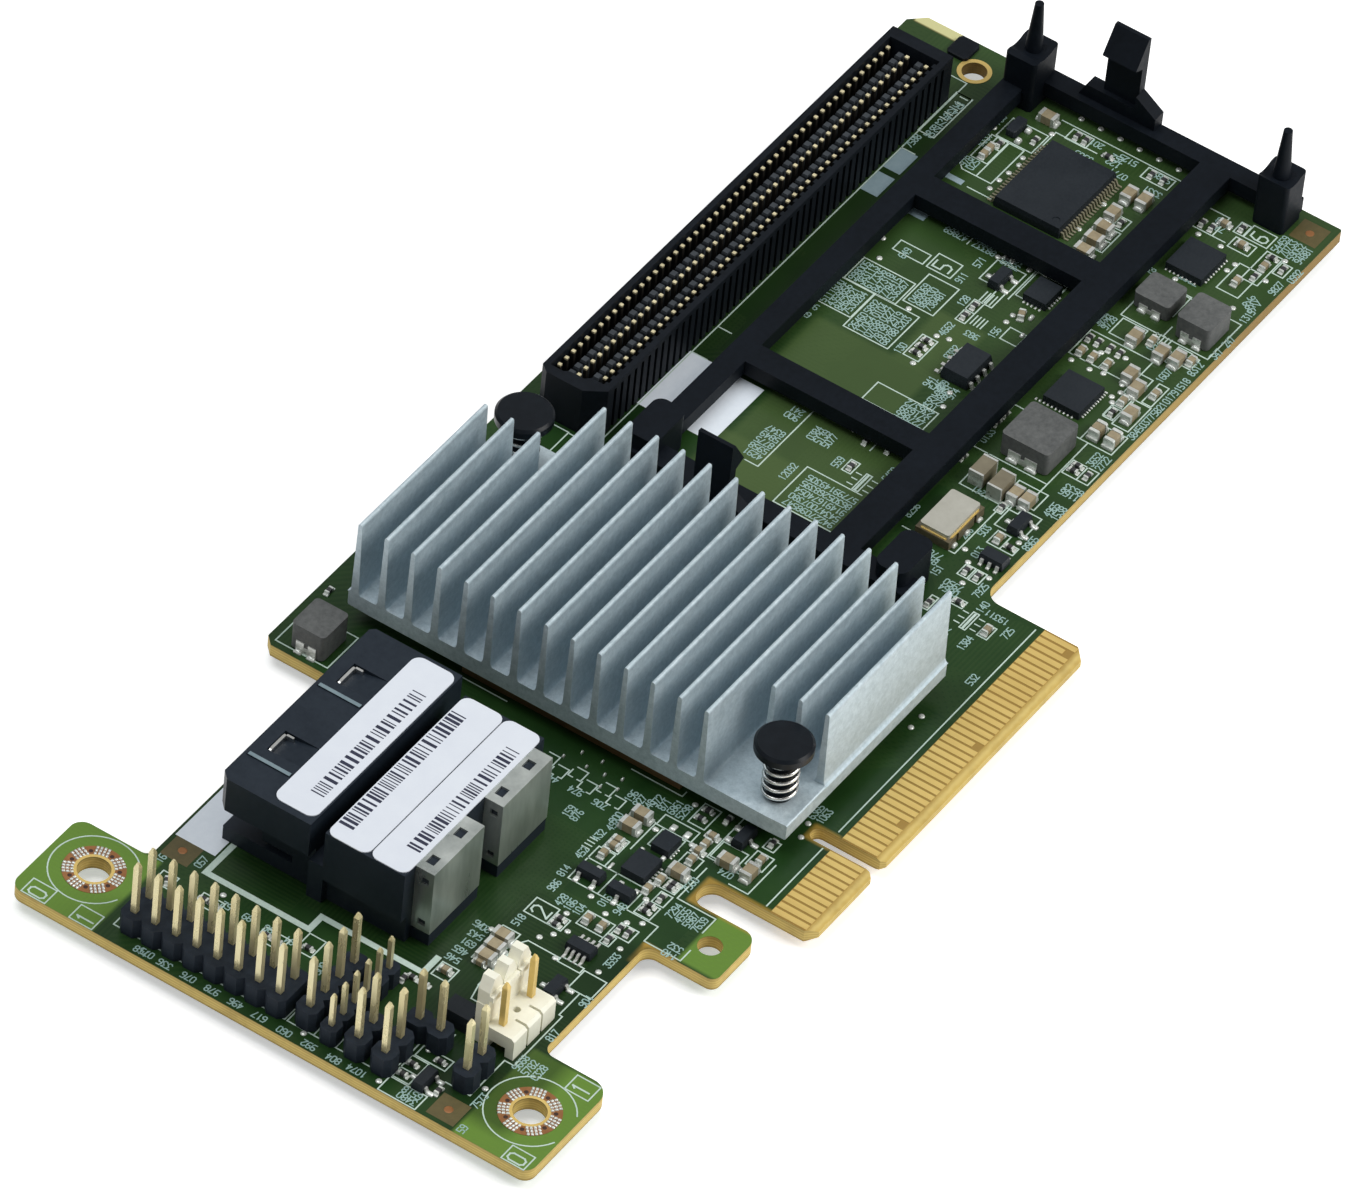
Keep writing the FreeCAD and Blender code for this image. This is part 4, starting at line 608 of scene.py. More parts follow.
numbers = {
    "width": 0.12, "height": 0.8, "largeWidth": 0.2, "gridHigh": 6, "advance": 5.4, "narrow": 0.78, "seed": 7,
    "large": [  # digit, x, y, height, turn
        ("2", -26.9, 22.5, 2.0, 0), ("5", 77.2, 42.3, 2.0, 0), ("6", 102.2, 18.3, 1.9, 0),
        ("1", -44.5, 5.6, 1.9, 0), ("1", -56.2, 57.9, 1.9, 0), ("0", -56.2, 5.3, 1.9, 0),
        ("0", -56.2, 63.8, 1.9, 0)],
    "small": [  # x, y of the first, digits; then, where they aren't 0, 1, 0, 0: turn, how many, step x, step y
        (-45.8, 12.9, 4, 0, 3, 0, -1.1), (-34.6, 12.5, 3), (-40.5, 12.5, 3), (-22.9, 9.2, 3, 90, 2, 1.15),
        (-19, 12.6, 4, 0, 4, 0, -1.05), (-24.5, 22.4, 3, 0, 3, 0, -1.1), (-21.9, 18.9, 3, 0, 2, 0, -1.9),
        (-23.3, 24.1, 3), (-17.8, 24.5, 3, 0, 3, 3.1), (-8.1, 25, 3, 0, 3, 0, -1.05),
        (-6.9, 20.6, 4, 0, 2, 0, -1.1), (-13.8, 28.8, 3, 0, 2, 0, -0.95), (-10, 11, 3, 90, 2, 1.15),
        (-15, 13.3, 4), (1.5, 9, 4, 0, 2, 0, -1.05), (27.5, 6.8, 3), (31.2, 10.3, 4), (-28.6, 13.6, 4),
        (-36.8, 26, 3, 90, 5, 1.35), (-55.5, 27.5, 3, 90, 3, 0, 3), (-55.4, 18.4, 4, 90, 2, 0.95),
        (-45, 40.5, 2, 90, 4, 0, 2.6), (38.5, 18.4, 3), (38.6, 13.2, 4), (43.4, 16.5, 3), (47.6, 12.9, 4),
        (46.5, 17.7, 3), (38.3, 30.9, 11, 90, 5, 1.12), (41.5, 19.4, 5, 90, 2, -0.95),
        (38, 15.2, 4, 90, 2, 0.95), (33, 12.8, 4, 90), (37.8, 8.8, 5, 90), (47.8, 27, 4, 90, 2, 0.95),
        (40.4, 38.6, 5), (42, 42.3, 4, 90, 5, 1.08), (49.2, 42.5, 3, 90, 2, 1.1), (45.4, 35.3, 3),
        (56.6, 31.8, 6, 90, 3, 1), (59.5, 32, 3, 90, 4, 1.05), (61.5, 34.4, 3, 0, 4, 0, -0.98),
        (63.9, 45.4, 5, 0, 5, 0, -0.98), (66.9, 45.4, 4, 0, 5, 0, -0.98), (65.4, 50.1, 7, 0, 4, 0, -0.98),
        (70.1, 49.5, 6, 0, 6, 0, -0.98), (71.2, 42.6, 6, 0, 3, 0, -0.98), (63.8, 39.6, 3), (69, 37.4, 4),
        (72, 33.1, 3), (71.3, 34.4, 3, 90), (74, 38.3, 3), (53.2, 13.9, 4, 0, 2, 0, -0.9),
        (57.6, 13, 4, 90, 2, 0.95), (62.3, 14.4, 4, 0, 2, 0, -1.05), (68.3, 13.2, 4, 0, 5, 2.3),
        (77.5, 15.5, 4), (80.6, 24.4, 4, 0, 2, 0, 0.95), (81, 18, 3, 0, 2, 0, 0.9), (83.2, 40, 5, 90, 2, 1),
        (91, 56.1, 4), (96, 50.2, 4), (92.2, 49, 3, 0, 2, 0, 0.9), (103, 37, 3, 90, 2, 0.9), (99.9, 50.6, 3),
        (-29.5, 24.2, 3), (-55.4, 24.5, 4, 90), (-55.4, 36.6, 3, 90, 6, 0, 2.9), (-52.6, 13.2, 4),
        (-53.5, 23.4, 4), (41, 29, 4), (47.2, 39.6, 4, 0, 3, 0, -0.95), (33, 52.6, 4, 0, 3, 0, -0.95),
        (76.8, 40.4, 3), (61.8, 33, 3), (66.4, 35, 4, 0, 2, 0, -0.95), (57, 28.9, 4), (78.4, 29.4, 4),
        (-12.6, 24.2, 3), (-21, 24.5, 3), (-7, 22.6, 3, 0, 2, 0, -0.95), (52.2, 20.4, 4, 90), (58.2, 25.2, 4),
        (84, 12.9, 3, 0, 2, 2.4), (99, 12.7, 4), (44, 25.3, 4), (45, 19, 3), (35.4, 7.6, 3), (37, 11.7, 3),
        (62.4, 28.2, 4), (86.6, 26.2, 4), (76.2, 47.2, 3), (53, 30.2, 4, 90, 3, 1), (47, 30, 4), (68.8, 28, 4),
        (80.4, 13.4, 4), (90.6, 13.4, 4), (93, 13.6, 3, 60, 2, 1), (96.2, 13.3, 4),
        (102, 16.6, 5, 0, 4, 0, -0.98), (101.6, 22.8, 3, 90, 2, 1.1), (92.9, 20.6, 4, 90), (91.6, 25.2, 3, 90),
        (101.9, 31, 4, 90, 3, 0, 4.4), (104.4, 31.4, 4, 90, 3, 0, 4.3), (82.9, 36.8, 4, 90, 2, 1.1),
        (83.2, 43.6, 5, 90, 2, 1), (94.4, 55.2, 2, 90, 6, 1.15), (80, 40.2, 3), (80.8, 25, 3),
        (-9.9, 26.5, 3, 90, 3, 0, 3), (-31.3, 26.9, 2, 90), (-56.2, 12.4, 2), (76.2, 26.2, 2, 90, 3, 1.2),
        (-47.4, 36, 3), (63, 50.2, 2, 90, 2, 1.5), (-44.6, 57.4, 2), (-42.8, 53.9, 3), (-55.3, 50.5, 3, 90),
    ],
}


def writeDigits(entries):
    # entries of (text, x, y, height, turn): grid points made narrow, scaled to the height, turned and moved
    ends = []
    for text, x, y, height, turn in entries:
        c, s = np.cos(np.radians(turn)), np.sin(np.radians(turn))
        for i, digit in enumerate(text):
            u, v = np.array(digitStrokes[digit], float).T
            u = (u + i * numbers["advance"]) * numbers["narrow"]
            spot = np.stack([u * c - v * s, u * s + v * c], 1) * (height / numbers["gridHigh"])
            ends.append(polyline(spot + (x, y)))
    return np.concatenate(ends)


chance = np.random.default_rng(numbers["seed"])


def smallNumbers(x, y, digits, turn=0, count=1, stepX=0, stepY=0):
    # numbers of seeded digits, each one step on from the last
    return [("".join(map(str, chance.integers(0, 10, digits))), x + i * stepX, y + i * stepY,
             numbers["height"], turn) for i in range(count)]


entries = [entry for row in numbers["small"] for entry in smallNumbers(*row)]
putMesh("board_print", join(strokes(outlines, printing["thin"]),
                            strokes(polyline(printing["border"]), printing["borderWidth"]),
                            strokes(writeDigits(numbers["large"]), numbers["largeWidth"])), "ink")
putMesh("board_numbers", strokes(writeDigits(entries), numbers["width"]), "textInk")
panels = [((x0 + x1) / 2, (y0 + y1) / 2, 0, x1 - x0, y1 - y0, printing["panelRise"], 0)
          for x0, y0, x1, y1 in printing["panels"]]
putMesh("board_panels", stamp(strokeShape, panels[:2]), "paintWhite")
putMesh("board_small_panels", stamp(strokeShape, panels[2:]), "padPaint")
print("board print:", len(outlines), "strokes and", len(entries), "numbers")

# Plated mounting holes, reference marks and solder dots.

mounts = {
    # each profile is (radius, height) round the hole's axis
    "barrel": [(1.86, -1.5), (1.86, -0.02), (3.3, -0.02), (3.3, 0.04), (1.76, 0.04), (1.76, -1.5)],
    "rim": [(1.76, 0.02), (2.12, 0.02), (2.12, 0.055), (1.76, 0.055)],
    "corner": (105.3, 57.3),
    "cornerRim": [(1.41, -0.01), (1.92, -0.01), (1.92, 0.05), (1.41, 0.05)],
    "vias": 7, "firstAngle": 94, "viaCircle": 2.6, "viaSize": (0.5, 0.5, 0.02),
    "dabCircles": (2.25, 2.68, 3.1), "dabShifts": (-0.27, -0.09, 0.09, 0.27), "dabSpread": 2.3,
    "dabSize": (0.38, 0.30, 0.12), "top": 0.04,
}
putMesh("mount_rings", lathe(mounts["barrel"], 48, holes), "copper")
putMesh("mount_rims", join(lathe(mounts["rim"], 48, holes), lathe(mounts["cornerRim"], 36, [mounts["corner"]])),
        "gold")
vias, dabs = [], []
step = 2 * np.pi / mounts["vias"]
for x, y in holes:
    for i in range(mounts["vias"]):
        angle = np.radians(mounts["firstAngle"]) + i * step
        vias.append((x + mounts["viaCircle"] * np.cos(angle), y + mounts["viaCircle"] * np.sin(angle),
                     mounts["top"], *mounts["viaSize"], 0))
        for shift in mounts["dabShifts"]:
            for radius in mounts["dabCircles"]:
                turn = angle + step / 2 + shift * mounts["dabSpread"] / radius
                dabs.append((x + radius * np.cos(turn), y + radius * np.sin(turn), mounts["top"],
                             *mounts["dabSize"], np.degrees(turn)))
putMesh("mount_vias", stamp(domeShape, vias), "darkBore")
putMesh("mount_solder", stamp(solderShape, dabs), "solder", True)

marks = {"places": [(-54.4, 15.35), (-41.9, 56.7), (106.7, 15.4)],
         "window": (3.3, 3.3, 0.012), "dot": (1.0, 1.0, 0.03)}
putMesh("mark_windows", stamp(strokeShape, [(x, y, 0, *marks["window"], 0) for x, y in marks["places"]]),
        "burntLaminate")
putMesh("mark_dots", stamp(domeShape, [(x, y, marks["window"][2], *marks["dot"], 0) for x, y in marks["places"]]),
        "copper", True)

dots = {
    "size": (0.72, 0.72, 0.16),
    "spots": [
        (-49, 21.5), (-55.55, 23), (-49.85, 14.1), (-54.9, 32.6), (-31.5, 26), (-29.4, 21.6), (-30.8, 18.7),
        (-29.7, 14.2), (-28.2, 20.7), (-25, 21.3), (-27, 19.8), (-21.5, 20.7), (-22.6, 18.2), (-22.3, 15.8),
        (-21.4, 14.5), (-18.4, 16.1), (-25.7, 14.3), (-9.7, 20.8), (-9.2, 16.7), (-9, 10.8), (-6.1, 14.3),
        (-4.2, 14.4), (-4.3, 19.6), (-1.4, 8.6), (0.65, 9.1), (18.6, 8.4), (20.6, 8.4), (43.7, 18.2),
        (42.3, 16.9), (39.4, 15.7), (41.7, 13.9), (44.1, 13.8), (48, 14.3), (63.5, 37.7), (68.5, 38),
        (68.9, 36.7), (70.1, 42.6), (74.7, 51.2), (77.4, 50.7), (74.6, 49.3), (62.2, 32.2), (64.2, 30.6),
        (74.4, 24.9), (74.4, 22.6), (74.8, 21.1), (74.6, 18.6), (73.5, 18.1), (71.7, 18), (72.4, 18.5),
        (77.3, 23), (78.2, 20.5), (82.7, 39.5), (83.1, 35.8), (91.7, 35.1), (96.6, 35.1), (106.3, 44.2),
        (106.3, 41.7), (106.3, 39.2), (106.2, 36.7), (106.2, 34.2), (106.2, 31.7), (99.1, 24.7), (99, 21.8),
        (91.7, 22.9), (96.3, 19.3), (97.6, 19.1), (91.8, 15.7), (97.5, 15.2), (101.4, 15.2), (91, 46),
        (92.7, 45.9), (94.3, 45.7), (96, 45.5), (97.2, 45.8), (99.2, 50.8), (102.3, 45.4), (-44.4, 49.9),
        (-53, 24.9), (74.9, 33.4), (76.2, 33.4), (51.2, 37), (60, 31.6),
    ],
}
putMesh("solder_dots", stamp(domeShape, [(x, y, 0, *dots["size"], 0) for x, y in dots["spots"]]),
        "solder", True)
print("holes, marks and", len(dots["spots"]), "solder dots")

# The smallest resistors and capacitors with their plated ends, and the solder under other parts.

tinyParts = {  # size, length of each end, and x, y, turn of each part
    "resistors": {"size": (1.0, 0.55, 0.42), "end": 0.24, "spots": [
        (-53.4, 21.6, 90), (-51.7, 21.6, 90), (-49.7, 19.6, 90), (-53.1, 17.5, 0), (-27.05, 21.3, 90),
        (-26.1, 21.3, 90), (-25.4, 15.9, 0), (-23.5, 15.8, 0), (-23.5, 14.8, 0), (-19.9, 15.2, 90),
        (-19, 15.2, 90), (-17.4, 14.9, 0), (-15.7, 15, 90), (-15, 15, 90), (-4.1, 15.7, 0), (-5.7, 18, 90),
        (-4.3, 18, 90), (-4, 10.3, 0), (41.1, 16.3, 0), (41.1, 14.9, 0), (46.7, 14.6, 90), (36.7, 14.4, 90),
        (34.7, 16.8, 0), (46.4, 34.2, 0), (64.9, 38.3, 90), (66, 38.3, 90), (67.1, 38.3, 90), (72.8, 37.3, 0),
        (74.7, 37.3, 0), (60.4, 15.6, 90), (61.3, 15.6, 90), (60.7, 14, 0), (51.2, 18.5, 0), (70.3, 17.1, 0),
        (78.3, 25.1, 0), (78.3, 24, 0), (78.3, 22.5, 0), (78.3, 21.3, 0), (91.1, 31.8, 0), (93, 31.8, 0),
        (95.2, 32, 0), (103.6, 43, 0), (103.6, 41.9, 0), (103.6, 33.5, 0), (103.6, 32, 0), (97.2, 16.4, 0),
        (100.8, 16.4, 90), (100, 14.6, 0), (100.7, 25.2, 0), (100.7, 24, 0), (102.7, 21.4, 0), (97.3, 48.9, 0),
        (100.2, 46.2, 0), (103, 38.7, 90), (-46.4, 55.4, 30), (-46.2, 51, 90), (-46.2, 49.8, 90),
        (-46.4, 43.2, 90), (-46.4, 41.8, 90), (-45.2, 38.9, 90), (-42, 28.4, 90), (-42, 26.9, 90),
        (83, 38.4, 90), (84, 33.9, 0), (50.5, 35, 0), (50.9, 32.4, 0), (-2.6, 66.3, 0), (-12.4, 46.4, 90),
        (-42.6, 29, 0), (61.4, 25.8, 0), (63, 25.8, 0), (54.9, 25.8, 0),
    ]},
    "capacitors": {"size": (1.25, 0.75, 0.62), "end": 0.28, "spots": [
        (-39.2, 26.3, 90), (-36.1, 24.2, 90), (-24.4, 19.1, 0), (-24.4, 17.4, 0), (-14.4, 22.8, 90),
        (-13.5, 22.8, 90), (-15.9, 23, 0), (-17.2, 16.7, 0), (-15.4, 16.4, 0), (-11.1, 15.5, 0),
        (-9.7, 15.6, 90), (-8.4, 15.6, 0), (-7.1, 15.6, 90), (-6.8, 9.9, 0), (47.1, 16.2, 0), (35, 9.8, 0),
        (72.4, 17.1, 0), (76, 24.7, 0), (76, 23.2, 0), (76, 21.4, 0), (75.4, 15, 0), (99.1, 16.4, 0),
        (95.3, 17.5, 0), (100.4, 20, 90), (94.9, 49.3, 0), (96.1, 49.3, 0), (82, 14.7, 0), (82, 19.6, 0),
        (102, 23.2, 90), (76.6, 32.6, 20),
    ]},
    "wide": {"size": (2.0, 1.25, 1.2), "end": 0.45, "spots": [(66.7, 16.65, 0), (66.6, 14.7, 0)]},
    "lift": 0.02, "overlap": (1.02, 1.04), "toe": 0.3, "toeOut": 0.1, "toeScale": (1.1, 0.3),
    "transistor": (100.4, 48.75, 0.06, 2.7, 1.3, 0.95, 0),
    # a dark block of painted shade beyond the stacking connector's end
    "foot": (107.35, 60.1, 0, 3.1, 2.6, 0.5, 0),
}


def smallParts(kind):
    # a body at each spot, and on both sides an end and a lower toe, each out along the part's own length
    length, width, height = kind["size"]
    end = kind["end"]
    bodies, ends = [], []
    for x, y, turn in kind["spots"]:
        c, s = np.cos(np.radians(turn)), np.sin(np.radians(turn))
        bodies.append((x, y, tinyParts["lift"], length - 2 * end, width, height, turn))
        for side in (-1, 1):
            reach, toe = side * (length - end) / 2, side * (length / 2 + tinyParts["toeOut"])
            ends.append((x + reach * c, y + reach * s, 0, end, width * tinyParts["overlap"][0],
                         height * tinyParts["overlap"][1], turn))
            ends.append((x + toe * c, y + toe * s, 0, tinyParts["toe"], width * tinyParts["toeScale"][0],
                         height * tinyParts["toeScale"][1], turn))
    return bodies, ends


resistors, resistorEnds = smallParts(tinyParts["resistors"])
capacitors, capacitorEnds = smallParts(tinyParts["capacitors"])
wideParts, wideEnds = smallParts(tinyParts["wide"])
putMesh("tiny_resistors", stamp(softBox, resistors), "darkCeramic")
putMesh("tiny_capacitors", stamp(softBox, capacitors + wideParts), "chipCeramic")
putMesh("tiny_part_ends", stamp(softBox, resistorEnds + capacitorEnds + wideEnds), "solder")
putMesh("far_transistor", stamp(softBox, [tinyParts["transistor"]]), "chipEpoxy")
# painted shade: a dark block where the board beyond the stacking connector's end lies in shade
putMesh("stack_foot", stamp(softBox, [tinyParts["foot"]]), "stackNylon")

flatPads = {
    "height": 0.14,
    "rows": [  # x, y of the first pad, step x, step y, how many, size x, size y
        (67.15, 24.6, 0, -0.5, 10, 0.42, 0.26), (67.9, 19.3, 0.42, 0, 12, 0.24, 0.42),
        (92.4, 24.5, 0, -0.52, 8, 0.42, 0.28), (93.3, 20.15, 0.52, 0, 9, 0.28, 0.42),
        (78.6, 33.6, 0, -0.5, 5, 0.4, 0.26), (-17, 17.2, 0.5, 0, 7, 0.26, 0.4),
        (-12.1, 17.35, 0.45, 0, 4, 0.26, 0.35), (79.5, 30.95, 0.5, 0, 5, 0.26, 0.35),
        (-13.4, 20.4, 0, -0.55, 4, 0.4, 0.26),
    ],
}
pads = [(x + i * stepX, y + i * stepY, 0, sizeX, sizeY, flatPads["height"], 0)
        for x, y, stepX, stepY, count, sizeX, sizeY in flatPads["rows"] for i in range(count)]
putMesh("flat_chip_pads", stamp(solderShape, pads), "solder", True)

joints = {
    "transistors": [  # x, y, turn of each part
        (-19.2, 22.3, -90), (-19.5, 18.4, 90), (-5.4, 12.9, 180), (49.95, 15.55, 0), (79.6, 37.3, 0),
        (-52.9, 19.3, 0), (-34.6, 16.2, 0),
    ],
    "transistorSpots": [(-0.95, -1.28, 0.62, 0.85, 0.24), (0.95, -1.28, 0.62, 0.85, 0.24),
                        (0, 1.28, 0.62, 0.85, 0.24)],
    "capacitors": [
        (-13.6, 15.4, 90), (-11.3, 22.9, 90), (-9.3, 22.8, 90), (-9.3, 12.3, 90), (-9.2, 9.7, 0),
        (-32, 24.3, 90), (-33.7, 24.1, 90), (-35.4, 24, 90), (103.7, 46.8, 90), (99, 33.5, 0), (99.2, 31.7, 0),
        (95.5, 33.3, 0), (93, 32.8, 90), (90.9, 32.7, 90), (88.7, 32.6, 90), (81, 21.2, 0), (80.7, 17.7, 0),
        (81, 15.9, 0), (75.9, 18.5, 0), (74.5, 16.8, 0), (70.9, 15.3, 0), (53.3, 18.2, 0), (53.3, 16.7, 0),
    ],
    "capacitorSpots": [(-1.12, 0, 0.42, 1.2, 0.5), (1.12, 0, 0.42, 1.2, 0.5)],
    "coils": [(60.95, 20.35, 6.1, 5.9), (-9.2, 62.95, 4.6, 4.1), (86.65, 16.3, 4.7, 4.2), (87.5, 22.2, 4.0, 4.4)],
    "coilOut": 0.28, "coilReach": 0.2, "coilSpot": (0.5, 0.24, 0.4),
    "crystal": (45.8, 21.55, 6.8, 4.2), "crystalOut": 0.12, "crystalReach": (-2.4, 0, 2.4),
    "crystalSpot": (0.9, 0.45, 0.4), "crystalRim": (1.1, 0.25, 0.14),  # of the rim: height, inset, thickness
    "loose": [  # x, y, size x, size y, height
        (-8.4, 19.5, 1, 0.7, 0.25), (-8.4, 17.8, 1.1, 0.7, 0.25), (-9.7, 20.85, 0.6, 0.6, 0.2),
        (99, 47.6, 0.9, 0.7, 0.5), (101, 47.6, 0.8, 0.7, 0.5), (77, 31.6, 0.9, 0.5, 0.4),
        (74.2, 30.9, 0.7, 0.5, 0.3), (-6.6, 29.2, 0.5, 0.25, 0.3), (-6, 27.4, 0.5, 0.25, 0.3),
        (-7.5, 27, 0.45, 0.25, 0.3), (-8.3, 28.6, 0.4, 0.25, 0.3), (-5.2, 30.4, 0.5, 0.25, 0.3),
        (-6.8, 31.3, 0.45, 0.25, 0.3), (-5.4, 32.8, 0.5, 0.25, 0.3), (-7, 34, 0.45, 0.25, 0.3),
        (-12.9, 20.3, 0.45, 0.5, 0.3), (-12.7, 17.9, 0.7, 0.5, 0.35), (-16.8, 21.5, 1.2, 0.35, 0.2),
    ],
}


def around(x, y, turn, spots):
    # spots given beside a part, turned and moved with it
    c, s = np.cos(np.radians(turn)), np.sin(np.radians(turn))
    return [(x + u * c - v * s, y + u * s + v * c, 0, *size, turn) for u, v, *size in spots]


solderSpots = around(0, 0, 0, joints["loose"])
for kind in ("transistor", "capacitor"):
    for place in joints[kind + "s"]:
        solderSpots += around(*place, joints[kind + "Spots"])
for x, y, sizeX, sizeY in joints["coils"]:
    long, wide, high = joints["coilSpot"]
    solderSpots += around(x, y, 0, [(side * (sizeX / 2 + joints["coilOut"]), reach * joints["coilReach"] * sizeY,
                                     long, wide * sizeY, high) for side in (-1, 1) for reach in (-1, 1)])
x, y, sizeX, sizeY = joints["crystal"]
solderSpots += around(x, y, 0, [(reach, side * (sizeY / 2 + joints["crystalOut"]), *joints["crystalSpot"])
                                for side in (-1, 1) for reach in joints["crystalReach"]])
putMesh("solder_joints", stamp(solderShape, solderSpots), "solder", True)
rimHeight, inset, thickness = joints["crystalRim"]
putMesh("crystal_rim", stamp(softBox, [(x, y, rimHeight, sizeX - inset, sizeY - inset, thickness, 0)]),
        "gold")
print("small parts:", len(resistors) + len(capacitors), "solder joints:", len(solderSpots))

# Labels, with bars of seeded widths that stand for no code, and the lines and latches of the port roof.

labels = {
    "radius": 1.0, "between": 0.07, "film": 0.12, "cornerSteps": 6,
    "bars": [  # node, and where its bars lie: x0, x1, y0, y1 as shares of its size, and how many
        ("port_label_front", 0.12, 0.84, 0.18, 0.50, 31), ("port_label_middle", 0.08, 0.90, 0.60, 0.97, 38),
        ("port_label_rear", 0.14, 0.88, 0.14, 0.52, 34)],
    "barFilm": 0.01, "barWidths": [0.16, 0.2, 0.34, 0.5], "barGaps": [0.22, 0.34, 0.55],
}


def roundedOutline(x0, y0, x1, y1):
    # a quarter circle at each corner, joined in order: its centre plus radius times (cos, sin) of its angles
    radius = labels["radius"]
    angle = np.linspace(0, np.pi / 2, labels["cornerSteps"]) + np.arange(4)[:, None] * np.pi / 2
    centres = np.array([(x1 - radius, y1 - radius), (x0 + radius, y1 - radius), (x0 + radius, y0 + radius),
                        (x1 - radius, y0 + radius)])
    return (centres[:, None] + radius * np.stack([np.cos(angle), np.sin(angle)], 2)).reshape(-1, 2)


middleLow, middleHigh = millimetres(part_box("port_label_middle"))
rearLow, rearHigh = millimetres(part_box("port_label_rear"))
seam = (middleLow[1] + rearHigh[1]) / 2
films = [ringStack(roundedOutline(x0, y0, x1, y1), [(z, 1, 1), (z + labels["film"], 1, 1)])
         for x0, y0, x1, y1, z in (
             (middleLow[0], seam + labels["between"], middleHigh[0], middleHigh[1], middleLow[2]),
             (rearLow[0], rearLow[1], rearHigh[0], seam - labels["between"], rearLow[2]))]
labelPiece = putMesh("port_labels_joined", join(*films), "labelFilm")
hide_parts("port_label_middle", "port_label_rear")

roof = {  # x, y, size x, size y of each
    "strips": ((-35.1, 51.5, 0.45, 5.1), (-22.8, 51.5, 0.45, 5.1)), "stripAt": 10.45, "stripRise": 0.02,
    "latches": ((-19.75, 52.74, 2.9, 0.36), (-18.42, 52.15, 0.3, 1.0)), "latchAt": 9.45, "latchHigh": 0.78,
    "pitch": 12.1,
}
strips = [(x, y, roof["stripAt"], sizeX, sizeY, roof["stripRise"], 0) for x, y, sizeX, sizeY in roof["strips"]]
putMesh("port_roof_lines", stamp(strokeShape, strips), "roofLine")
latches = [(x - i * roof["pitch"], y, roof["latchAt"], sizeX, sizeY, roof["latchHigh"], 0)
           for x, y, sizeX, sizeY in roof["latches"] for i in (0, 1)]
putMesh("port_latches", stamp(softBox, latches), "steel")

bars = []
for name, x0, x1, y0, y1, count in labels["bars"]:
    low, high = millimetres(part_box(name))
    size = high - low
    widths = chance.choice(labels["barWidths"], count)
    gaps = chance.choice(labels["barGaps"], count)
    ends = np.cumsum(widths + gaps)
    scale = size[0] * (x1 - x0) / ends[-1]
    middles = low[0] + size[0] * x0 + (ends - gaps - widths / 2) * scale
    bars += [(x, low[1] + size[1] * (y0 + y1) / 2, high[2], width, size[1] * (y1 - y0), labels["barFilm"], 0)
             for x, width in zip(middles, widths * scale)]
putMesh("label_bars", stamp(strokeShape, bars), "barInk")
print("labels joined, with", len(bars), "bars")

# Heatsink: a flat base and thin tapered fins with soft tips, each one section carried straight along X.

sinkLow, sinkHigh = millimetres(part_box("heatsink"))


def straightBar(section, x0, x1, chamfer):
    # a closed section in (y, z) carried from x0 to x1; at both ends its width about its middle is drawn in
    section = np.asarray(section, float)
    middle = section.mean(axis=0)
    shrink = 1 - 2 * chamfer / np.ptp(section, axis=0).min()
    x, scale = np.array([(x0, shrink), (x0 + chamfer, 1), (x1 - chamfer, 1), (x1, shrink)]).T
    points = np.empty((4, len(section), 3))
    points[:, :, 0] = x[:, None]
    points[:, :, 1] = middle[0] + (section[:, 0] - middle[0]) * scale[:, None]
    points[:, :, 2] = section[:, 1]
    i = np.arange(len(section))
    return points.reshape(-1, 3), [sideFaces(4, len(section)), np.stack([i[::-1], 3 * len(section) + i])]


def finSection(middle, floor, top):
    # half of the outline from the rounded foot up to the soft tip, then the same mirrored about the middle
    root, tip, fillet = sink["root"] / 2, sink["tip"] / 2, sink["fillet"]
    half = np.array([(root + fillet, floor - 0.05), (root + fillet * 0.45, floor + fillet * 0.18),
                     (root + 0.05, floor + fillet), (tip + 0.01, top - 0.22), (tip * 0.72, top - 0.05),
                     (tip * 0.25, top)])
    return np.concatenate([half, half[::-1] * (-1, 1)]) + (middle, 0)


floorLevel = sinkLow[2] + sink["base"]
(y0, z0), (y1, z1), b = sinkLow[1:], (sinkHigh[1], floorLevel), sink["bevel"]
plate = [(y0, z0 + b), (y0 + b, z0), (y1 - b, z0), (y1, z0 + b),
         (y1, z1 - b), (y1 - b, z1), (y0 + b, z1), (y0, z1 - b)]
sinkBars = [straightBar(plate, sinkLow[0], sinkHigh[0], sink["baseChamfer"])]
for i in range(sink["fins"]):
    x0 = sinkLow[0] + (sink["shortBy"] if i >= sink["fins"] - sink["shortFins"] else 0)
    x1 = sinkHigh[0] - (sink["shortBy"] if i < sink["shortFins"] else 0)
    section = finSection(sinkHigh[1] - sink["firstFin"] - i * sink["pitch"], floorLevel, sinkHigh[2])
    sinkBars.append(straightBar(section, x0, x1, sink["finChamfer"]))
fins = putMesh("cooling_fins", join(*sinkBars), "sinkFinish")
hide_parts("heatsink")
print("heatsink fins:", sink["fins"])

# Springs under the push pins: a round wire on a rising circle.

spring = {"wire": 0.42, "turns": 5, "steps": 40, "outer": 1.95, "sides": 10}


def coil(x, y, low, high):
    # centre plus radius times (cos, sin) of an angle that grows evenly with the height from low to high
    radius = spring["outer"] - spring["wire"] / 2
    t = np.linspace(0, 1, spring["turns"] * spring["steps"] + 1)
    angle = 2 * np.pi * spring["turns"] * t
    path = np.stack([x + radius * np.cos(angle), y + radius * np.sin(angle), low + (high - low) * t], 1)
    return tube(path, spring["wire"] / 2, spring["sides"])


